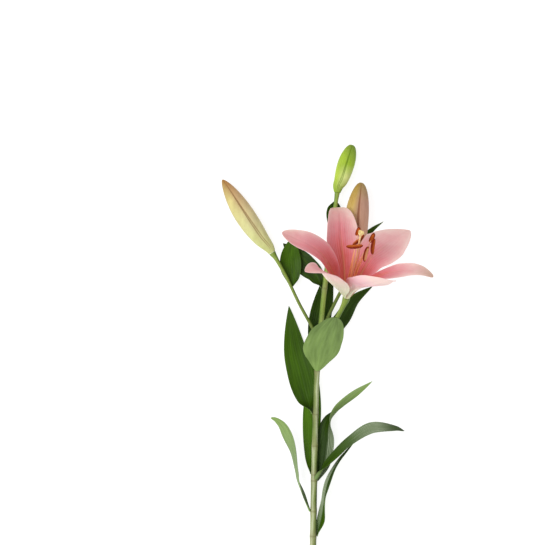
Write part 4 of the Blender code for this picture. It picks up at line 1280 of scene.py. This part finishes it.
for number, (turn, centre, direction) in enumerate(STAMENS, 1):
    turn = np.radians(turn)
    foot = np.array((CLAW[0], FILAMENT_FOOT * np.cos(turn), FILAMENT_FOOT * np.sin(turn)))
    rise = in_flower(*(foot * (1, FILAMENT_SPREAD, FILAMENT_SPREAD) + (FILAMENT_RISE, 0, 0)))
    direction, anther = unit(np.array(direction, float)), in_flower(*centre)
    reach = anther - rise
    back = unit(reach - (reach @ direction) * direction)
    hinge = anther - HINGE * back
    middle = (1 - SAG_AT) * rise + SAG_AT * hinge - FILAMENT_SAG * back
    path = smooth_curve([in_flower(*foot), rise, middle, hinge], FILAMENT_ROWS)
    radii = np.interp(*(np.linspace(0, 1, n) for n in (FILAMENT_ROWS, len(FILAMENT_RADII))), FILAMENT_RADII)
    made = add_stalk(f"lily_filament_{number}", path, radii, filament_skin, FILAMENT_SIDES, **FILAMENT_RIBS)
    stands_for(made, f"filament_{number}")
    made = grow_anther(f"lily_anther_{number}", anther, direction, back, number, SHED.get(number, 0.0))
    stands_for(made, f"anther_{number}")

# %% Growing the pistil
PISTIL = [(0.4, 0, 0), (16, 0, 0), (45, -0.3, 0), (70, -1.5, -0.5), (83, -2.2, -1.3)]
PISTIL_PROFILE = [  # how far along, radius, depth of the three lobes
    (0.0, 0.9, 0.05), (0.03, 1.05, 0.08), (0.17, 1.05, 0.08), (0.21, 0.8, 0.02), (0.6, 0.75, 0.0),
    (0.9, 0.95, 0.04), (0.945, 1.5, 0.12), (0.97, 2.6, 0.2), (0.988, 3.25, 0.25), (1.0, 3.05, 0.3),
    (1.0, 2.2, 0.35), (0.994, 1.1, 0.3), (0.988, 0.3, 0.0),
]
PISTIL_ROWS, PISTIL_SIDES = 150, 36
STYLE_PART = (50, 60)  # the rows between which the style's direction is read, for all the rings


def square_to(onward):
    """The directions to the side of a line and up from it."""
    lateral = unit(np.cross(onward, UP))
    return lateral, np.cross(lateral, onward)


profile = smooth_curve(PISTIL_PROFILE, PISTIL_ROWS)
path = at_shares(smooth_curve([in_flower(*point) for point in PISTIL]), np.clip(profile[:, 0], 0, 1))
angles = np.linspace(0, 2 * np.pi, PISTIL_SIDES, endpoint=False)
radii = profile[:, 1:2] * (1 - profile[:, 2:3] * (1 - np.cos(3 * angles)) / 2)
style_foot, style_top = path[list(STYLE_PART)]
lateral, upward = square_to(unit(style_top - style_foot))
rings = rings_round(path[:, None], lateral, upward, radii * np.cos(angles), radii * np.sin(angles))
made = add_spindle("lily_pistil", rings, pistil_skin, {"along": profile[:, 0:1]})
stands_for(made, "pistil")

# %% [markdown]
# ## The cut end
# A lily stem isn't woody. Its cut shows a wet pale pith under a green rind, with the ends of its strands
# as scattered darker dots. The face is a thin button that closes the stem, and the grain tree strews the
# dots.

# %% The cut face
FACE_PROFILE = [(0.16, 0.3), (0.14, 0.8), (0.18, 0.93), (0.26, 0.97), (0.6, 0.97)]  # depth, share of radius
FACE_SIDES, STRANDS_PER_M2, STRAND_RADIUS, STRAND_SEED = 40, 1.6e6, 0.11, 7

pith_skin = tissue(
    "pith_skin",
    finish=(0.35, 0.5, 0.1),
    stops=[(0.0, "#E6E9CC"), (0.75, "#D6DFAE"), (0.92, "#A9BF74"), (1.0, "#7C9650")],
    fleck=("#C2CC92", 0.25),
    grain=(1, 1.5),
    relief=(0.3, 0.1),
    mark="outwards",
)
strand_skin = speckled_material("strand_skin", 0.5, 0.3, 0.8, 2.0, "#7E9448", "#A5B66C", 0.3, 0.05)
line, rind = stalk_lines["stem"][:, :3], stalk_lines["stem"][0, 3]
inwards = unit(line[1] - line[0])
angles = np.linspace(0, 2 * np.pi, FACE_SIDES, endpoint=False)
depths, shares = (np.array(column)[:, None] for column in zip(*FACE_PROFILE))
spine = line[0] + depths[..., None] * inwards
wide, deep = rind * shares * np.cos(angles), rind * shares * np.sin(angles)
rings = rings_round(spine, *square_to(inwards), wide, deep)
face = add_spindle("lily_cut_face", rings, pith_skin, {"outwards": shares})
sizes = dict(Density=STRANDS_PER_M2, Grain_radius=STRAND_RADIUS * MM)
run_tree(face, grain_tree, Seed=STRAND_SEED, Skin=strand_skin, **sizes)
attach(face, "root")
print(face.name, len(face.data.polygons), "faces")

# %% [markdown]
# ## Camera, light and floor
# The stem lies down, so the camera looks straight down on it, from 1.8 m. The room is pure white and the
# light is soft, brighter from the left. A white room lights everything a little, a large lamp on the left
# gives the forms their shade, a weaker one in front lights the undersides of the flower, and the floor
# glows faintly so that shadows stay soft. The Standard view transform keeps white white.

# %% Floor, world and lamps
FLOOR_SIZE = 10.0
PAPER_GREY, PAPER_GLOW, ROOM_GLOW = 0.3, 0.82, 0.6
LAMPS = {"left_window": ((-1.1, 0.3, 1.6), 24), "front_window": ((-0.3, -1.5, 1.1), 9)}  # place, watts
LAMP_SIZE = 1.2
WHITE = (1, 1, 1, 1)

scene = bpy.context.scene
scene.view_settings.view_transform = "Standard"


def add_floor():
    """A square of glowing white paper under the stem."""
    mesh = bpy.data.meshes.new("floor")
    reach = FLOOR_SIZE / 2
    corners = [(-reach, -reach, 0), (reach, -reach, 0), (reach, reach, 0), (-reach, reach, 0)]
    mesh.from_pydata(corners, [], [(0, 1, 2, 3)])
    floor = bpy.data.objects.new("floor", mesh)
    scene.collection.objects.link(floor)
    paper, tree = new_material("white_paper", 0.9)
    shader = tree.nodes["Principled BSDF"]
    shader.inputs["Base Color"].default_value = (PAPER_GREY, PAPER_GREY, PAPER_GREY, 1)
    shader.inputs["Emission Color"].default_value = WHITE
    shader.inputs["Emission Strength"].default_value = PAPER_GLOW
    mesh.materials.append(paper)


add_floor()
for name, (place, power) in LAMPS.items():
    light = bpy.data.lights.new(name, "AREA")
    light.shape, light.size, light.energy = "SQUARE", LAMP_SIZE, power
    lamp = bpy.data.objects.new(name, light)
    lamp.location = place
    lamp.rotation_euler = (-Vector(place)).to_track_quat("-Z", "Y").to_euler()
    scene.collection.objects.link(lamp)
world = bpy.data.worlds.new("white_room")
scene.world = world
world.use_nodes = True
world.node_tree.nodes["Background"].inputs["Color"].default_value = WHITE
world.node_tree.nodes["Background"].inputs["Strength"].default_value = ROOM_GLOW
print("floor", FLOOR_SIZE, "m,", len(LAMPS), "lamps")

# %% Camera
CAMERA_PLACE = np.array((-46.5, 67.5, 1820.0))  # over the middle of the view, in the plant's frame
SENSOR, SIGHT = 36.0, 10.0  # mm across the film, and how many metres the camera sees
VIEW_DISTANCE, VIEW_WIDTH = 1800.0, 545.0  # the camera sees this width at this distance, both in mm

lens = bpy.data.cameras.new("camera")
lens.sensor_width = SENSOR
lens.lens = SENSOR * VIEW_DISTANCE / VIEW_WIDTH
lens.clip_end = SIGHT
camera = bpy.data.objects.new("camera", lens)
camera.location = (CAMERA_PLACE + SHIFT) * MM
scene.collection.objects.link(camera)
scene.camera = camera
print("lens", round(lens.lens, 1), "mm at", [round(value, 3) for value in camera.location])
